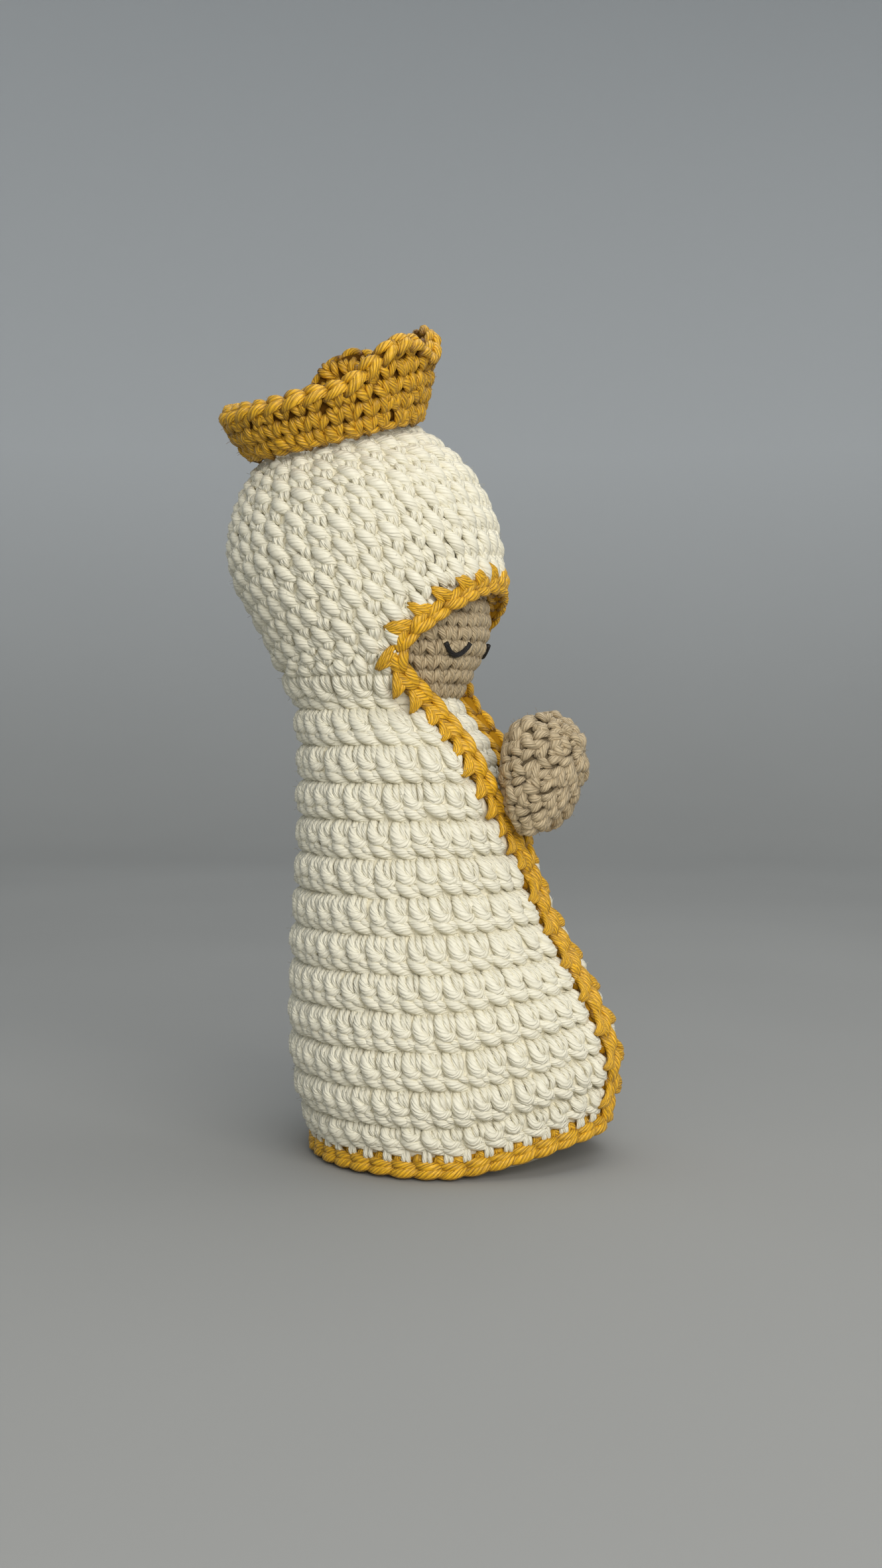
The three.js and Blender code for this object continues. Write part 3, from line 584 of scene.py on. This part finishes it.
# beige yarn: dark painted shade at the roots, and strong flecks to paint glints
beige = yarnFinish("beigeYarn", (0.70, 0.555, 0.34), (0.12, 0.084, 0.04), root=0.2, fall=1.3,
                   crease=0.4, fleckAndGlint=1.2, rough=0.56, gloss=0.45)
# dark cloth under the hands' stitches: painted shade in the gaps between them
paintedShadeBeigeCloth = clothFinish("paintedShadeBeigeCloth", (0.21, 0.16, 0.09), (0.12, 0.09, 0.05))
headCloth = clothFinish("headCloth", (0.48, 0.385, 0.24), (0.36, 0.28, 0.17))
black = yarnFinish("blackThread", (0.016, 0.014, 0.013), (0.005, 0.004, 0.004), sheen=0.0)
fluff = clothFinish("stuffingFibre", (0.9, 0.89, 0.86), (0.7, 0.69, 0.66))
card = clothFinish("cardDisc", (0.45, 0.32, 0.2), (0.33, 0.23, 0.14))
print("finishes made")


def bendAtNeck(piece, slot, *nodes):  # the piece kept where it stands, with the solids it stands for hidden
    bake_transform(piece)
    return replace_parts(piece, *nodes) if nodes else piece


def fix(piece, body, slot, *nodes):  # a piece on its body, with the solids it stands for; the slot is not used
    if body == "hands":  # the backs of the hands are sewn to the body; their pieces stay where they stand
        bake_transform(piece)
    else:
        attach(piece, body)
    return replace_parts(piece, *nodes) if nodes else piece


def ringOf(place, level, out, count=96):  # one closed round of a surface
    share = np.arange(count) / count
    return place(share, np.full(count, float(level)), np.full(count, float(out)))


def roundCells(place, rows, width, shift=0.27, sets=1):
    # cells of rounds of stitches: as many whole sets as fit each round at that width,
    # every round shifted a little
    start, size, row = [], [], []
    for k in rows:
        loop = ringOf(place, k + 0.5, 0)
        length = np.linalg.norm(np.roll(loop, -1, axis=0) - loop, axis=1).sum()
        count = max(int(round(length / width / sets)) * sets, 5)
        start.append((np.arange(count) + (k * shift) % 1) / count)
        size.append(np.full(count, 1 / count))
        row.append(np.full(count, float(k)))
    return np.concatenate(start), np.concatenate(size), np.concatenate(row)


def keepCells(cells, place, test):  # only the cells whose middles pass a test
    start, size, row = cells
    middle = place(start + size / 2, row + 0.5, 0 * row)
    foot, top = (place(start + size / 2, row + step, 0 * row) for step in (0, 1))
    tall = np.linalg.norm(top - foot, axis=1)
    keep = test(middle) & (tall > 1.4)  # no cells squeezed flat
    return start[keep], size[keep], row[keep]


# Mantle: twelve level ridges and one at the neck
ridges = {"top": 82.65, "pitch": 6.15, "count": 13, "stitch": 3.65, "lift": -0.9, "clear": 1.75,
          "rise": 0.4, "sink": 1.0, "shoulder": 0.25, "endLevel": 0.7}


def ridgePoint(share, level, out, endLevel=None):
    # share runs from the right front edge round the back to the left one,
    # and the edges are taken at the end level where that is set
    height = ridges["top"] - ridges["pitch"] * (ridges["count"] - level)
    ends = height if endLevel is None else ridges["top"] - ridges["pitch"] * (ridges["count"] - endLevel)
    edge = edgeTurn(ends + 0 * share, ridges["clear"])
    fromGroove = np.abs((level + 0.5) % 1 - 0.5)
    wave = ridges["rise"] - ridges["sink"] * (1 - smooth(fromGroove, 0, ridges["shoulder"]))
    return mantlePoint(edge + share * (2 * np.pi - 2 * edge), height + 0 * share, out + wave)


def ridgeStrands(k):  # one ridge: its stitches stand upright, so both its ends do too
    def place(share, level, out):
        return ridgePoint(share, level, out, k + ridges["endLevel"])
    line = place(np.linspace(0, 1, 120), np.full(120, k + 0.5), np.zeros(120))
    count = int(round(np.linalg.norm(np.diff(line, axis=0), axis=1).sum() / ridges["stitch"]))
    cells = np.arange(count) / count, np.full(count, 1 / count), np.full(count, float(k))
    return layStitches(ridgeStitch if k else lowestRidge, place, *cells, ridges["lift"])


lowestRidge = reshaped(ridgeStitch, up=(0.7, 0.3))  # it leaves room for the posts of the hem
mantlePieces, mantleStrands = [], []
for name, rows in (("mantle_ridges_low", range(4)), ("mantle_ridges_middle", range(4, 8)),
                   ("mantle_ridges_high", range(8, ridges["count"]))):
    strands = joinStrands(*(ridgeStrands(k) for k in rows))
    mantlePieces.append(bendAtNeck(yarnMesh(name, strands, cream), "cream_yarn"))
    mantleStrands.append(strands)
fuzz = strayFibres(joinStrands(*mantleStrands), 3600, 0.55)
mantlePieces.append(bendAtNeck(yarnMesh("mantle_fuzz", fuzz, cream, 3), "cream_yarn"))

share, level = np.meshgrid(np.linspace(0.001, 0.999, 110), np.linspace(0.06, 12.3, 118), indexing="ij")
sheets = [ridgePoint(share, level, out + 0 * share) for out in (-1.0, -2.3)]
mantleCloth = gridMesh("mantle_cloth", np.concatenate([sheets[0], sheets[1][:, ::-1]], axis=1), creamCloth)
bendAtNeck(mantleCloth, "cream_yarn", "mantle")
print("mantle made")

# Hood: tilted rounds of fat leaves
hoodRows = range(-hood["fanRows"], hood["top"])
hoodCells = keepCells(roundCells(hoodPoint, hoodRows, hood["stitch"], hood["shift"], 6), hoodPoint,
                      lambda p: insideWhite(p) > 1.3)
hoodPieces, hoodStrands = [], []
hoodBands = (("hood_rounds_low", -9, 3), ("hood_rounds_middle", 3, 7), ("hood_rounds_high", 7, 99))
for name, low, high in hoodBands:
    part = (hoodCells[2] >= low) & (hoodCells[2] < high)
    cells = [c[part] for c in hoodCells]
    strands = layStitches(roundStitch, hoodPoint, *cells, hood["lift"], 1.0, 0.04, 0.06)
    hoodPieces.append(bendAtNeck(yarnMesh(name, strands, cream), "cream_yarn"))
    hoodStrands.append(strands)
fuzz = strayFibres(joinStrands(*hoodStrands), 3000, 0.55)
hoodPieces.append(bendAtNeck(yarnMesh("hood_fuzz", fuzz, cream, 3), "cream_yarn"))
hoodHeart = np.array([0, 13.5, 97.0])  # the hood's cloth is drawn on rays from here


def hoodRay(aim, out):  # where a ray from the hood's heart meets its form
    def inside(reach):
        at = hoodHeart + reach[..., None] * aim
        back, ring = coverForm(at[..., 2])
        return np.hypot(at[..., 0], at[..., 1] - back) < ring + out
    reach = halve(inside, np.zeros(aim.shape[:-1]), np.full(aim.shape[:-1], 45.0))
    return hoodHeart + reach[..., None] * aim


faceLoop = edgeLine[(edgeRun > neckRun) & (edgeRun < edgeRun[-1] - neckRun)]
neckTurn = np.arctan2(-faceLoop[0, 0], coverForm(77.5)[0] - faceLoop[0, 1])
neckTurns = np.linspace(2 * np.pi - neckTurn, neckTurn, 74)[1:-1]
loop = np.concatenate([faceLoop[::2], mantlePoint(neckTurns, neckTurns * 0 + 77.5, -1.2)])
pole = unit(np.array([0, np.sin(np.radians(hood["tilt"])), np.cos(np.radians(hood["tilt"]))]))
away = np.linspace(0.015, 1, 44)[:, None, None] ** 0.8
aims = unit(mix(pole, unit(loop - hoodHeart)[None], away))
hoodWalls = np.concatenate([hoodRay(aims, -1.0), hoodRay(aims, -2.9)[::-1]])
hoodShell = gridMesh("hood_cloth", hoodWalls, creamCloth)
bendAtNeck(hoodShell, "cream_yarn", "hood")
print("hood made")

# Head: close beige stitches where the opening shows it
headCells = keepCells(roundCells(headPoint, range(11), 2.5, 0.5), headPoint,
                      lambda p: (insideWhite(p) < 3.5) & (p[:, 1] < 12))
faceStrands = layStitches(closeStitch, headPoint, *headCells, -0.4, 0.9, 0.07, 0.15)
fix(yarnMesh("face_stitches", faceStrands, beige), "head", "beige_yarn")
skull = [ringOf(headPoint, k, -0.75) for k in np.linspace(0.1, 18.4, 44)]
headCover = fix(gridMesh("head_cover", np.array(skull), headCloth), "head", "beige_yarn", "head")

# Dress: seen between the mantle's edges
dressCells = keepCells(roundCells(dressPoint, range(12, 26), 3.4), dressPoint,
                       lambda p: (insideWhite(p) < 3) & (p[:, 1] < 4))
dressStrands = layStitches(roundStitch, dressPoint, *dressCells, -0.7, 0.9)
fix(yarnMesh("dress_front", dressStrands, cream), "body", "cream_yarn")
dressRings = [ringOf(dressPoint, k, -1.0) for k in np.linspace(0.05, 25.9, 60)]
dressCover = fix(gridMesh("dress_cover", np.array(dressRings), creamCloth), "body", "cream_yarn",
                 "dress", "dress_base")
print("head and dress made")

# Gold edging
chainStitch = [  # two long leaves that part from the line, here in millimetres to the side
    [(-0.20, 0.10, -0.5, 0.45, 0.4), (0.18, 0.48, 0.35, 0.74, 0.6), (0.60, 0.92, 0.35, 0.74, 0.58),
     (1.08, 1.3, -0.5, 0.4, 0.36)],
    [(-0.20, -0.05, -0.5, 0.45, 0.4), (0.18, -0.45, 0.5, 0.76, 0.62), (0.60, -0.90, 0.5, 0.78, 0.62),
     (1.12, -1.15, -0.4, 0.45, 0.4)],
]
edgeChain = [  # the same two leaves, fuller, so that they close up to a cord
    [(-0.32, 0.15, -0.5, 0.5, 0.45), (0.15, 0.45, 0.35, 0.86, 0.64), (0.62, 0.86, 0.35, 0.86, 0.62),
     (1.22, 1.25, -0.5, 0.45, 0.4)],
    [(-0.32, -0.1, -0.5, 0.5, 0.45), (0.15, -0.42, 0.5, 0.88, 0.66), (0.62, -0.8, 0.5, 0.88, 0.66),
     (1.24, -1.1, -0.4, 0.5, 0.45)],
]
spikeStitch = [  # a tooth of three strands that meet in the white, behind its foot
    [(0.90, 0.5, 0.0, 0.5, 0.44), (0.64, 1.5, 0.6, 0.62, 0.54), (0.38, 2.7, 0.8, 0.5, 0.44),
     (0.14, 3.9, 0.0, 0.24, 0.24)],
    [(0.58, 0.5, 0.1, 0.52, 0.46), (0.43, 1.5, 0.72, 0.64, 0.54), (0.26, 2.7, 0.85, 0.52, 0.44),
     (0.12, 3.8, 0.0, 0.24, 0.24)],
    [(0.26, 0.5, 0.0, 0.5, 0.44), (0.22, 1.4, 0.6, 0.6, 0.52), (0.15, 2.5, 0.75, 0.48, 0.42),
     (0.08, 3.5, 0.0, 0.24, 0.24)],
]


def lineStitches(stitch, point, start, length, lift, grow=1.0):  # stitches in a row along a line
    return layStitches(reshaped(stitch, along=endForEnd), point, start, length, 0 * start, lift, grow, 0.04)


def stepsAlong(low, high, step):  # starts and lengths of the whole steps that fit between two places
    count = max(int(round((high - low) / step)), 1)
    return np.linspace(low, high, count + 1)[:-1], np.full(count, (high - low) / count)


def ribbon(name, low, high, left, right, out, thick):  # a flat strip of cloth under the strands of a line
    at = np.arange(low, high, 0.8)[:, None]
    side = np.array([left, left, right, right])[None]
    heights = np.array([out - thick, out, out, out - thick])[None]
    return gridMesh(name, edgePoint(at, side, heights), edgeCloth)


middle = total / 2
fewTeeth, manyTeeth, browTeeth = 6.15, 3.8, 4.0  # from tooth to tooth
chainStep = 3.8  # from stitch to stitch of the edging
edges = (("front_edging", "right", 0, neckRun, ((3, openRun, fewTeeth), (openRun, neckRun, manyTeeth))),
         ("face_edging", "right", neckRun, middle, ((neckRun, middle, browTeeth),)),
         ("face_edging", "left", middle, total - neckRun, ((middle, total - neckRun, browTeeth),)),
         ("front_edging", "left", total - neckRun, total,
          ((total - neckRun, total - openRun, manyTeeth), (total - openRun, total - 3, fewTeeth))))
braids, braidSides = {}, 8
for part, side, low, high, spans in edges:
    name = part if part == "face_edging" else part + "_" + side
    strands = [lineStitches(edgeChain, edgePoint, *stepsAlong(low, high, chainStep), 0.75),
               lineStitches(edgeChain, edgeInner, *stepsAlong(low, high, chainStep), 0.2)]
    for first, last, apart in spans:
        long = 1.22 if apart == fewTeeth else 1.0  # the low teeth reach further over the ridges
        tooth = reshaped(spikeStitch, along=(manyTeeth / apart * long, 0), up=(long, 0))
        tooth = tooth if side == "right" else reshaped(tooth, along=endForEnd)
        strands.append(lineStitches(tooth, edgePoint, *stepsAlong(first, last, apart), 0.7 * long))
    braids.setdefault(name, []).extend(strands)
for name, strands in braids.items():
    braid = bendAtNeck(yarnMesh(name + "_braid", joinStrands(*strands), gold, braidSides), "gold_yarn", name)
    (hoodPieces if name == "face_edging" else mantlePieces).append(braid)
cores = (("front_edging_core_right", 0, neckRun), ("face_edging_core", neckRun, total - neckRun),
         ("front_edging_core_left", total - neckRun, total))
for name, low, high in cores:
    core = bendAtNeck(ribbon(name, low, high, -1.2, 1.3, 0.5, 1.6), "gold_yarn")
    (hoodPieces if name == "face_edging_core" else mantlePieces).append(core)

hemTotal = hemRun[-1]
hemChainStitch = [  # as the edging's chain, for the room under the posts
    [(-0.32, 0.1, -0.5, 0.5, 0.45), (0.15, 0.28, 0.3, 0.84, 0.66), (0.65, 0.52, 0.35, 0.84, 0.66),
     (1.24, 0.75, -0.5, 0.45, 0.4)],
    [(-0.32, -0.2, -0.5, 0.5, 0.45), (0.15, -0.5, 0.45, 0.86, 0.68), (0.65, -0.78, 0.45, 0.86, 0.68),
     (1.24, -1.0, -0.5, 0.45, 0.4)],
]
hemStub = [  # a short gold stub between two white posts
    [(0.16, 0.6, -0.4, 0.5, 0.4), (0.36, 1.5, 0.3, 0.7, 0.5), (0.58, 2.5, -0.5, 0.4, 0.35)],
    [(0.66, 0.6, -0.4, 0.5, 0.4), (0.50, 1.5, 0.25, 0.62, 0.5), (0.36, 2.4, -0.5, 0.4, 0.35)],
]
hemPost = [  # two short white strands that come down over the gold
    [(0.84, 0.6, -0.3, 0.3, 0.3), (0.87, 1.5, 0.6, 0.44, 0.42), (0.90, 3.0, 0.3, 0.4, 0.36)],
    [(1.08, 0.6, -0.3, 0.3, 0.3), (1.08, 1.5, 0.6, 0.44, 0.42), (1.07, 3.0, 0.3, 0.4, 0.36)],
]
hemSteps = stepsAlong(0.6, hemTotal - 0.6, 3.3)
hemGold = joinStrands(lineStitches(hemChainStitch, hemPoint, *stepsAlong(0, hemTotal, 4.0), 0.35),
                      lineStitches(hemStub, hemPoint, *hemSteps, 0.0))
mantlePieces.append(fix(yarnMesh("hem_edging_braid", hemGold, gold), "body", "gold_yarn", "hem_edging"))
hemWhite = lineStitches(hemPost, hemPoint, hemSteps[0][:-1], hemSteps[1][:-1], 0.15)
mantlePieces.append(fix(yarnMesh("hem_posts", hemWhite, cream), "body", "cream_yarn"))
at = np.arange(0, hemTotal, 0.8)[:, None]
hemCore = hemPoint(at, np.array([-1.5, -1.5, 2.4, 2.4])[None], np.array([-1.8, 0.0, -0.1, -1.8])[None])
mantlePieces.append(fix(gridMesh("hem_core", hemCore, edgeCloth), "body", "gold_yarn"))
print("edging made")


# The two sheets, as wide and as long as they lie flat, and their cloth areas


def clothArea(piece):  # one face of a sheet: half of its closed mesh
    faces = np.zeros(len(piece.data.polygons), np.float32)
    piece.data.polygons.foreach_get("area", faces)
    return float(faces.sum()) / 2


ball = head["radius"] + mantle["cover"]
mantleFlat = (hemTotal * mm, ridges["pitch"] * ridges["count"] * mm)
hoodFlat = (2 * np.pi * ball * mm, (head["height"] - head["neck"] + np.pi / 2 * ball) * mm)
clothArea(mantleCloth)
clothArea(hoodShell)
print("sheets", mantleFlat, clothArea(mantleCloth), hoodFlat, clothArea(hoodShell))

# Eyes
eye = {"points": 25, "sides": 10, "height": 87.4, "drop": 2.0, "angle": 27, "length": 5.8,
       "out": 0.6, "wide": 0.42, "thick": 0.4}
for name in ("eye_right", "eye_left"):
    side = 1 if name == "eye_right" else -1
    s = np.linspace(-1, 1, eye["points"])
    height = eye["height"] - eye["drop"] * (1 - s ** 2)  # a hanging arc
    back, radius = headForm(height, eye["out"])
    turn = side * (np.radians(eye["angle"]) + s * eye["length"] / 2 / radius)
    path = stack(-radius * np.sin(turn), back - radius * np.cos(turn), height)
    outward = stack(-np.sin(turn), -np.cos(turn), 0 * turn)
    strand = {"path": path[None], "outward": outward[None], "wide": np.full((1, len(s)), eye["wide"]),
              "thick": np.full((1, len(s)), eye["thick"]), "deep": np.ones((1, len(s)))}
    fix(yarnMesh(name + "_thread", strand, black, eye["sides"]), "head", "black_thread", name)

# Hands
hand = {"length": 12.6, "height": 9.3, "thick": 4.7, "slope": 8, "lift": 4.6, "full": 0.72, "blunt": 0.55,
        "wrist": 3.0, "wristHeight": 63, "wristBack": -12.15, "round": 2.2, "stitch": 2.35}


def handPoint(side):
    # rings along y, whose half height and half width are a power of a sine, joined to a wrist that tapers
    dense = np.linspace(0.001, 0.999, 400)
    swell = np.sin(np.pi * dense ** hand["full"]) ** hand["blunt"]
    wrist = hand["wrist"] * (1 - dense)
    tall = np.hypot(wrist, hand["height"] * swell)
    broad = np.hypot(wrist, hand["thick"] * swell)
    steps = np.hypot(np.diff(dense * hand["length"]), np.diff((tall + broad) / 2))
    run = np.concatenate([[0], np.cumsum(steps)])
    run = run[-1] - run  # counted from the fingertips

    def point(share, level, out):
        along = np.interp(level * hand["round"], run[::-1], dense[::-1])
        halfTall = np.interp(along, dense, tall)
        halfBroad = np.interp(along, dense, broad)
        turn = 2 * np.pi * share
        edge = smooth(along, 0.75, 1.0) * out
        x = side * (halfBroad + 0.15 + np.maximum(halfBroad + out, 0.05) * np.sin(turn))
        y = -along * hand["length"] - edge
        z = hand["lift"] * along + np.maximum(halfTall + out, 0.05) * np.cos(turn)
        slope = np.radians(hand["slope"])
        return stack(x, y * np.cos(slope) + z * np.sin(slope) + hand["wristBack"],
                     z * np.cos(slope) - y * np.sin(slope) + hand["wristHeight"])
    return point


for name, side in (("right_hand", -1), ("left_hand", 1)):
    place = handPoint(side)
    cells = roundCells(place, range(9), hand["stitch"])
    strands = layStitches(closeStitch, place, *cells, -0.35, 0.98, 0.1, 0.4, 0.24)
    fix(yarnMesh(name + "_stitches", strands, beige), "hands", "beige_yarn")
    fix(yarnMesh(name + "_fuzz", strayFibres(strands, 500, 0.5), beige, 3), "hands", "beige_yarn")
    # the hand's cover, dark as painted shade between the stitches
    rings = [ringOf(place, k, -0.75, 48) for k in np.linspace(0.1, 8.7, 26)]
    cover = gridMesh(name + "_cover", np.array(rings), paintedShadeBeigeCloth)
    fix(cover, "hands", "beige_yarn", name)
print("hands made")

# Crown
crown = {"tiltBack": 9.5, "tiltRight": 13, "base": 15, "bandLean": 28, "pointLean": 4, "frontLean": 14,
         "band": 5.6, "rim": 3.2, "wall": 2.4, "spread": 40, "round": 2.55, "stitch": 2.85,
         "points": ((22, 5.0), (-36, 6.2), (-92, 5.6), (170, 0.6))}
dome = head["radius"] + mantle["cover"] + 0.3
crownFoot = np.sqrt(dome ** 2 - (crown["base"] - crown["wall"]) ** 2)
back, right = np.radians(-crown["tiltBack"]), np.radians(-crown["tiltRight"])
tiltBack = np.array([[1, 0, 0], [0, np.cos(back), -np.sin(back)], [0, np.sin(back), np.cos(back)]])
tiltRight = np.array([[np.cos(right), 0, np.sin(right)], [0, 1, 0], [-np.sin(right), 0, np.cos(right)]])
crownTurn = tiltRight @ tiltBack


def crownRise(turn):  # height over the band: the rim, and a raised cosine for each point
    rise = crown["rim"] + 0 * turn
    for angle, height in crown["points"]:
        apart = np.abs((np.degrees(turn) - angle + 180) % 360 - 180)
        rise = rise + height * (1 + np.cos(np.pi * np.minimum(apart / crown["spread"], 1))) / 2
    return rise


def crownPoint(turn, height, out):  # circles that widen by the leans, turned with the tilt of the crown
    lean = np.tan(np.radians(crown["pointLean"] + crown["frontLean"] * np.cos(turn)))
    radius = (crown["base"] + np.minimum(height, crown["band"]) * np.tan(np.radians(crown["bandLean"]))
              + np.maximum(height - crown["band"], 0) * lean + out)
    local = stack(-radius * np.sin(turn), -radius * np.cos(turn), crownFoot + height)
    return local @ crownTurn.T + (0, head["back"], head["height"])


def crownOutside(share, level, out):  # the outer wall by share and level
    return crownPoint(2 * np.pi * share, crown["round"] * level, out)


def crownInside(share, level, out):  # the inner wall, run the other way round
    return crownPoint(-2 * np.pi * share, crown["round"] * level, -crown["wall"] - out)


def underRim(cells, mirror):  # only the cells that end below the rim
    start, size, row = cells
    turn = 2 * np.pi * (start + size / 2) * mirror
    keep = (row + 0.75) * crown["round"] < crown["band"] + crownRise(turn) - 1.0
    return start[keep], size[keep], row[keep]


bandSets, pointSets = [], []
for place, mirror in ((crownOutside, 1), (crownInside, -1)):
    cells = underRim(roundCells(place, range(6), crown["stitch"], 0.4), mirror)
    band = cells[2] < 2
    for sets, part in ((bandSets, band), (pointSets, ~band)):
        some = [c[part] for c in cells]
        sets.append(layStitches(closeStitch, place, *some, -0.35, 0.98, 0.09, 0.3, 0.12))
rimTurns = np.linspace(0, 2 * np.pi, 400)[:-1]
rimTop = crown["band"] + crownRise(rimTurns) - 0.7
rimRun, rimLine = evenPath(crownPoint(rimTurns, rimTop, -crown["wall"] / 2), 0.5, closed=True)
outRun, rimOuter = evenPath(crownPoint(rimTurns, rimTop, 0), 0.5, closed=True)
even = np.linspace(0, outRun[-1], len(rimLine))
rimAside = unit(np.stack([np.interp(even, outRun, rimOuter[:, k]) for k in range(3)], axis=1) - rimLine)
rimUp = unit(np.cross(np.gradient(rimLine, axis=0), rimAside))
rimUp = rimUp * np.sign(rimUp[:, 2:3])
rimFace = unit(rimAside + 0.75 * rimUp)  # the chain looks out and up
rimPoint = alongLine(rimRun, rimLine + 0.5 * rimAside - 0.4 * rimUp, unit(rimUp - 0.75 * rimAside), rimFace)
pointSets.append(lineStitches(chainStitch, rimPoint, *stepsAlong(0, rimRun[-1], 3.4), 0.3, 1.2))
footStitch = [  # one lying leaf under the lowest round
    [(-0.20, 0.1, -0.5, 0.4, 0.36), (0.20, 0.0, 0.2, 0.7, 0.56), (0.66, 0.2, 0.2, 0.7, 0.56),
     (1.14, 0.5, -0.5, 0.4, 0.36)],
]
footTurns = np.linspace(0, 2 * np.pi, 200)[:-1]
footRun, footLine = evenPath(crownPoint(footTurns, footTurns * 0 + 0.5, -0.4), 0.5, closed=True)
footOut = unit(footLine - footLine.mean(0))
footUp = np.broadcast_to(crownTurn @ (0, 0, 1), footLine.shape)
footPoint = alongLine(footRun, footLine, footUp, footOut)
bandSets.append(lineStitches(footStitch, footPoint, *stepsAlong(0, footRun[-1], 3.3), 0.0))
fix(yarnMesh("crown_band_stitches", joinStrands(*bandSets), gold), "crown", "gold_yarn", "crown_band")
fuzz = strayFibres(joinStrands(*bandSets, *pointSets), 1200, 0.5)
fix(yarnMesh("crown_fuzz", fuzz, gold, 3), "crown", "gold_yarn")
fix(yarnMesh("crown_point_stitches", joinStrands(*pointSets), gold), "crown", "gold_yarn", "crown_points")
# the crown's cloth wall, coloured as painted shade where it shows between the stitches
heights = np.linspace(0.1, 1, 12)[:, None]
wallTurns = np.linspace(0, 2 * np.pi, 97)[None, :-1]
tops = heights * (crown["band"] + crownRise(wallTurns) - 0.4)
outside, inside = (crownPoint(wallTurns + 0 * tops, tops, out) for out in (-0.6, -1.8))
crownWall = np.concatenate([outside, inside[::-1]])
fix(gridMesh("crown_cloth", crownWall, paintedShadeGoldCloth, looped=True), "crown", "gold_yarn")
print("crown made")

# Stuffing: lumps of fibre inside the covers


def lumps(name, place, low, high, out, body, node):  # a cover drawn in, with a wave over it
    level, share = np.meshgrid(np.linspace(low, high, 30), np.arange(48) / 48, indexing="ij")
    swell = 0.3 * np.sin(6 * np.pi * share + 2.1 * level) * np.cos(1.7 * level + 4 * np.pi * share)
    piece = fix(gridMesh(name, place(share, level, out + swell), fluff), body, "stuffing", node)


lumps("body_fibre", dressPoint, 1.7, 25.7, -3.6, "body", "body_stuffing")
lumps("head_fibre", headPoint, 0.2, 17.1, -3.6, "head", "head_stuffing")
lumps("right_hand_fibre", handPoint(-1), 0.65, 7.8, -2.2, "hands", "right_hand_stuffing")
lumps("left_hand_fibre", handPoint(1), 0.65, 7.8, -2.2, "hands", "left_hand_stuffing")
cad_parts["base_disc"].data.materials.clear()
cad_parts["base_disc"].data.materials.append(card)

# Floor, light and camera
floorLook = {"flat": 0.55, "wide": 1.3, "high": 1.5}
quarter = np.linspace(0, np.pi / 2, 40)[1:]
bowlRadius = np.concatenate([np.linspace(0.02, floorLook["flat"], 20),
                             mix(floorLook["flat"], floorLook["wide"], np.sin(quarter))])
bowlHeight = np.concatenate([np.zeros(20), floorLook["high"] * (1 - np.cos(quarter))])
turns = np.linspace(0, 2 * np.pi, 97)[:-1]
bowl = stack(bowlRadius[:, None] * np.cos(turns), bowlRadius[:, None] * np.sin(turns),
             bowlHeight[:, None]) / mm
bowl[..., 2] -= 0.05


def floorFinish():
    finish = Finish("paleFloor")
    where = finish.node("ShaderNodeTexCoord", {}, {}, 3)
    noise = finish.node("ShaderNodeTexNoise", {}, {"Vector": where, "Scale": 6.0, "Detail": 2.0})
    height = finish.node("ShaderNodeSeparateXYZ", {}, {0: where}).other(2)
    low = finish.blend(noise, (0.3, 0.3, 0.287, 1), (0.35, 0.35, 0.335, 1))
    colour = finish.blend(height * 4.0, low, (0.53, 0.545, 0.545, 1))  # painted light: lighter up the wall, where the lamps throw less; the cooler grey is the wall's own
    return finish.done({"Base Color": colour, "Roughness": 0.9, "Specular IOR Level": 0.2})


floor = gridMesh("pale_floor", bowl, floorFinish(), ends=(True, False), inward=True)

# name, place, width, height, power and colour: panels that stand clear of the floor
lamps = (("keyLamp", (-0.46, -0.37, 0.3), 0.6, 0.36, 3.2, (1.0, 0.97, 0.93)),
         ("fillLamp", (-0.56, -0.2, 0.27), 0.44, 0.28, 0.2, (0.97, 0.98, 1.0)),
         ("topLamp", (0.2, -0.1, 0.95), 0.9, 0.9, 3.0, (1.0, 1.0, 1.0)))
for name, place, wide, high, power, colour in lamps:
    data = bpy.data.lights.new(name, "AREA")
    data.shape = "RECTANGLE"
    data.size, data.size_y, data.energy, data.color = wide, high, power, colour
    lamp = bpy.data.objects.new(name, data)
    lamp.location = place
    lamp.rotation_euler = (Vector((0, 0.005, 0.07)) - Vector(place)).to_track_quat("-Z", "Y").to_euler()
    bpy.context.scene.collection.objects.link(lamp)
world = bpy.data.worlds.new("softRoom")
world.use_nodes = True
world.node_tree.nodes["Background"].inputs[0].default_value = (0.75, 0.8, 0.86, 1)
world.node_tree.nodes["Background"].inputs[1].default_value = 0.66
bpy.context.scene.world = world
bpy.context.scene.view_settings.view_transform = "Standard"

photo = {"turn": 18, "distance": 0.3, "height": 0.079, "aside": 0.001, "dip": 3.0,
         "focal": 2610, "long": 2364}
turn, dip = np.radians(photo["turn"]), np.radians(photo["dip"])
camera = bpy.data.objects.new("photoCamera", bpy.data.cameras.new("photoCamera"))
camera.location = (-photo["distance"] * np.cos(turn) - photo["aside"] * np.sin(turn),
                   -photo["distance"] * np.sin(turn) + photo["aside"] * np.cos(turn), photo["height"])
aim = Vector((np.cos(turn) * np.cos(dip), np.sin(turn) * np.cos(dip), -np.sin(dip)))
camera.rotation_euler = aim.to_track_quat("-Z", "Y").to_euler()
camera.data.sensor_width = 36
camera.data.lens = photo["focal"] / photo["long"] * camera.data.sensor_width
camera.data.clip_start, camera.data.clip_end = 0.01, 20
bpy.context.scene.collection.objects.link(camera)
bpy.context.scene.camera = camera
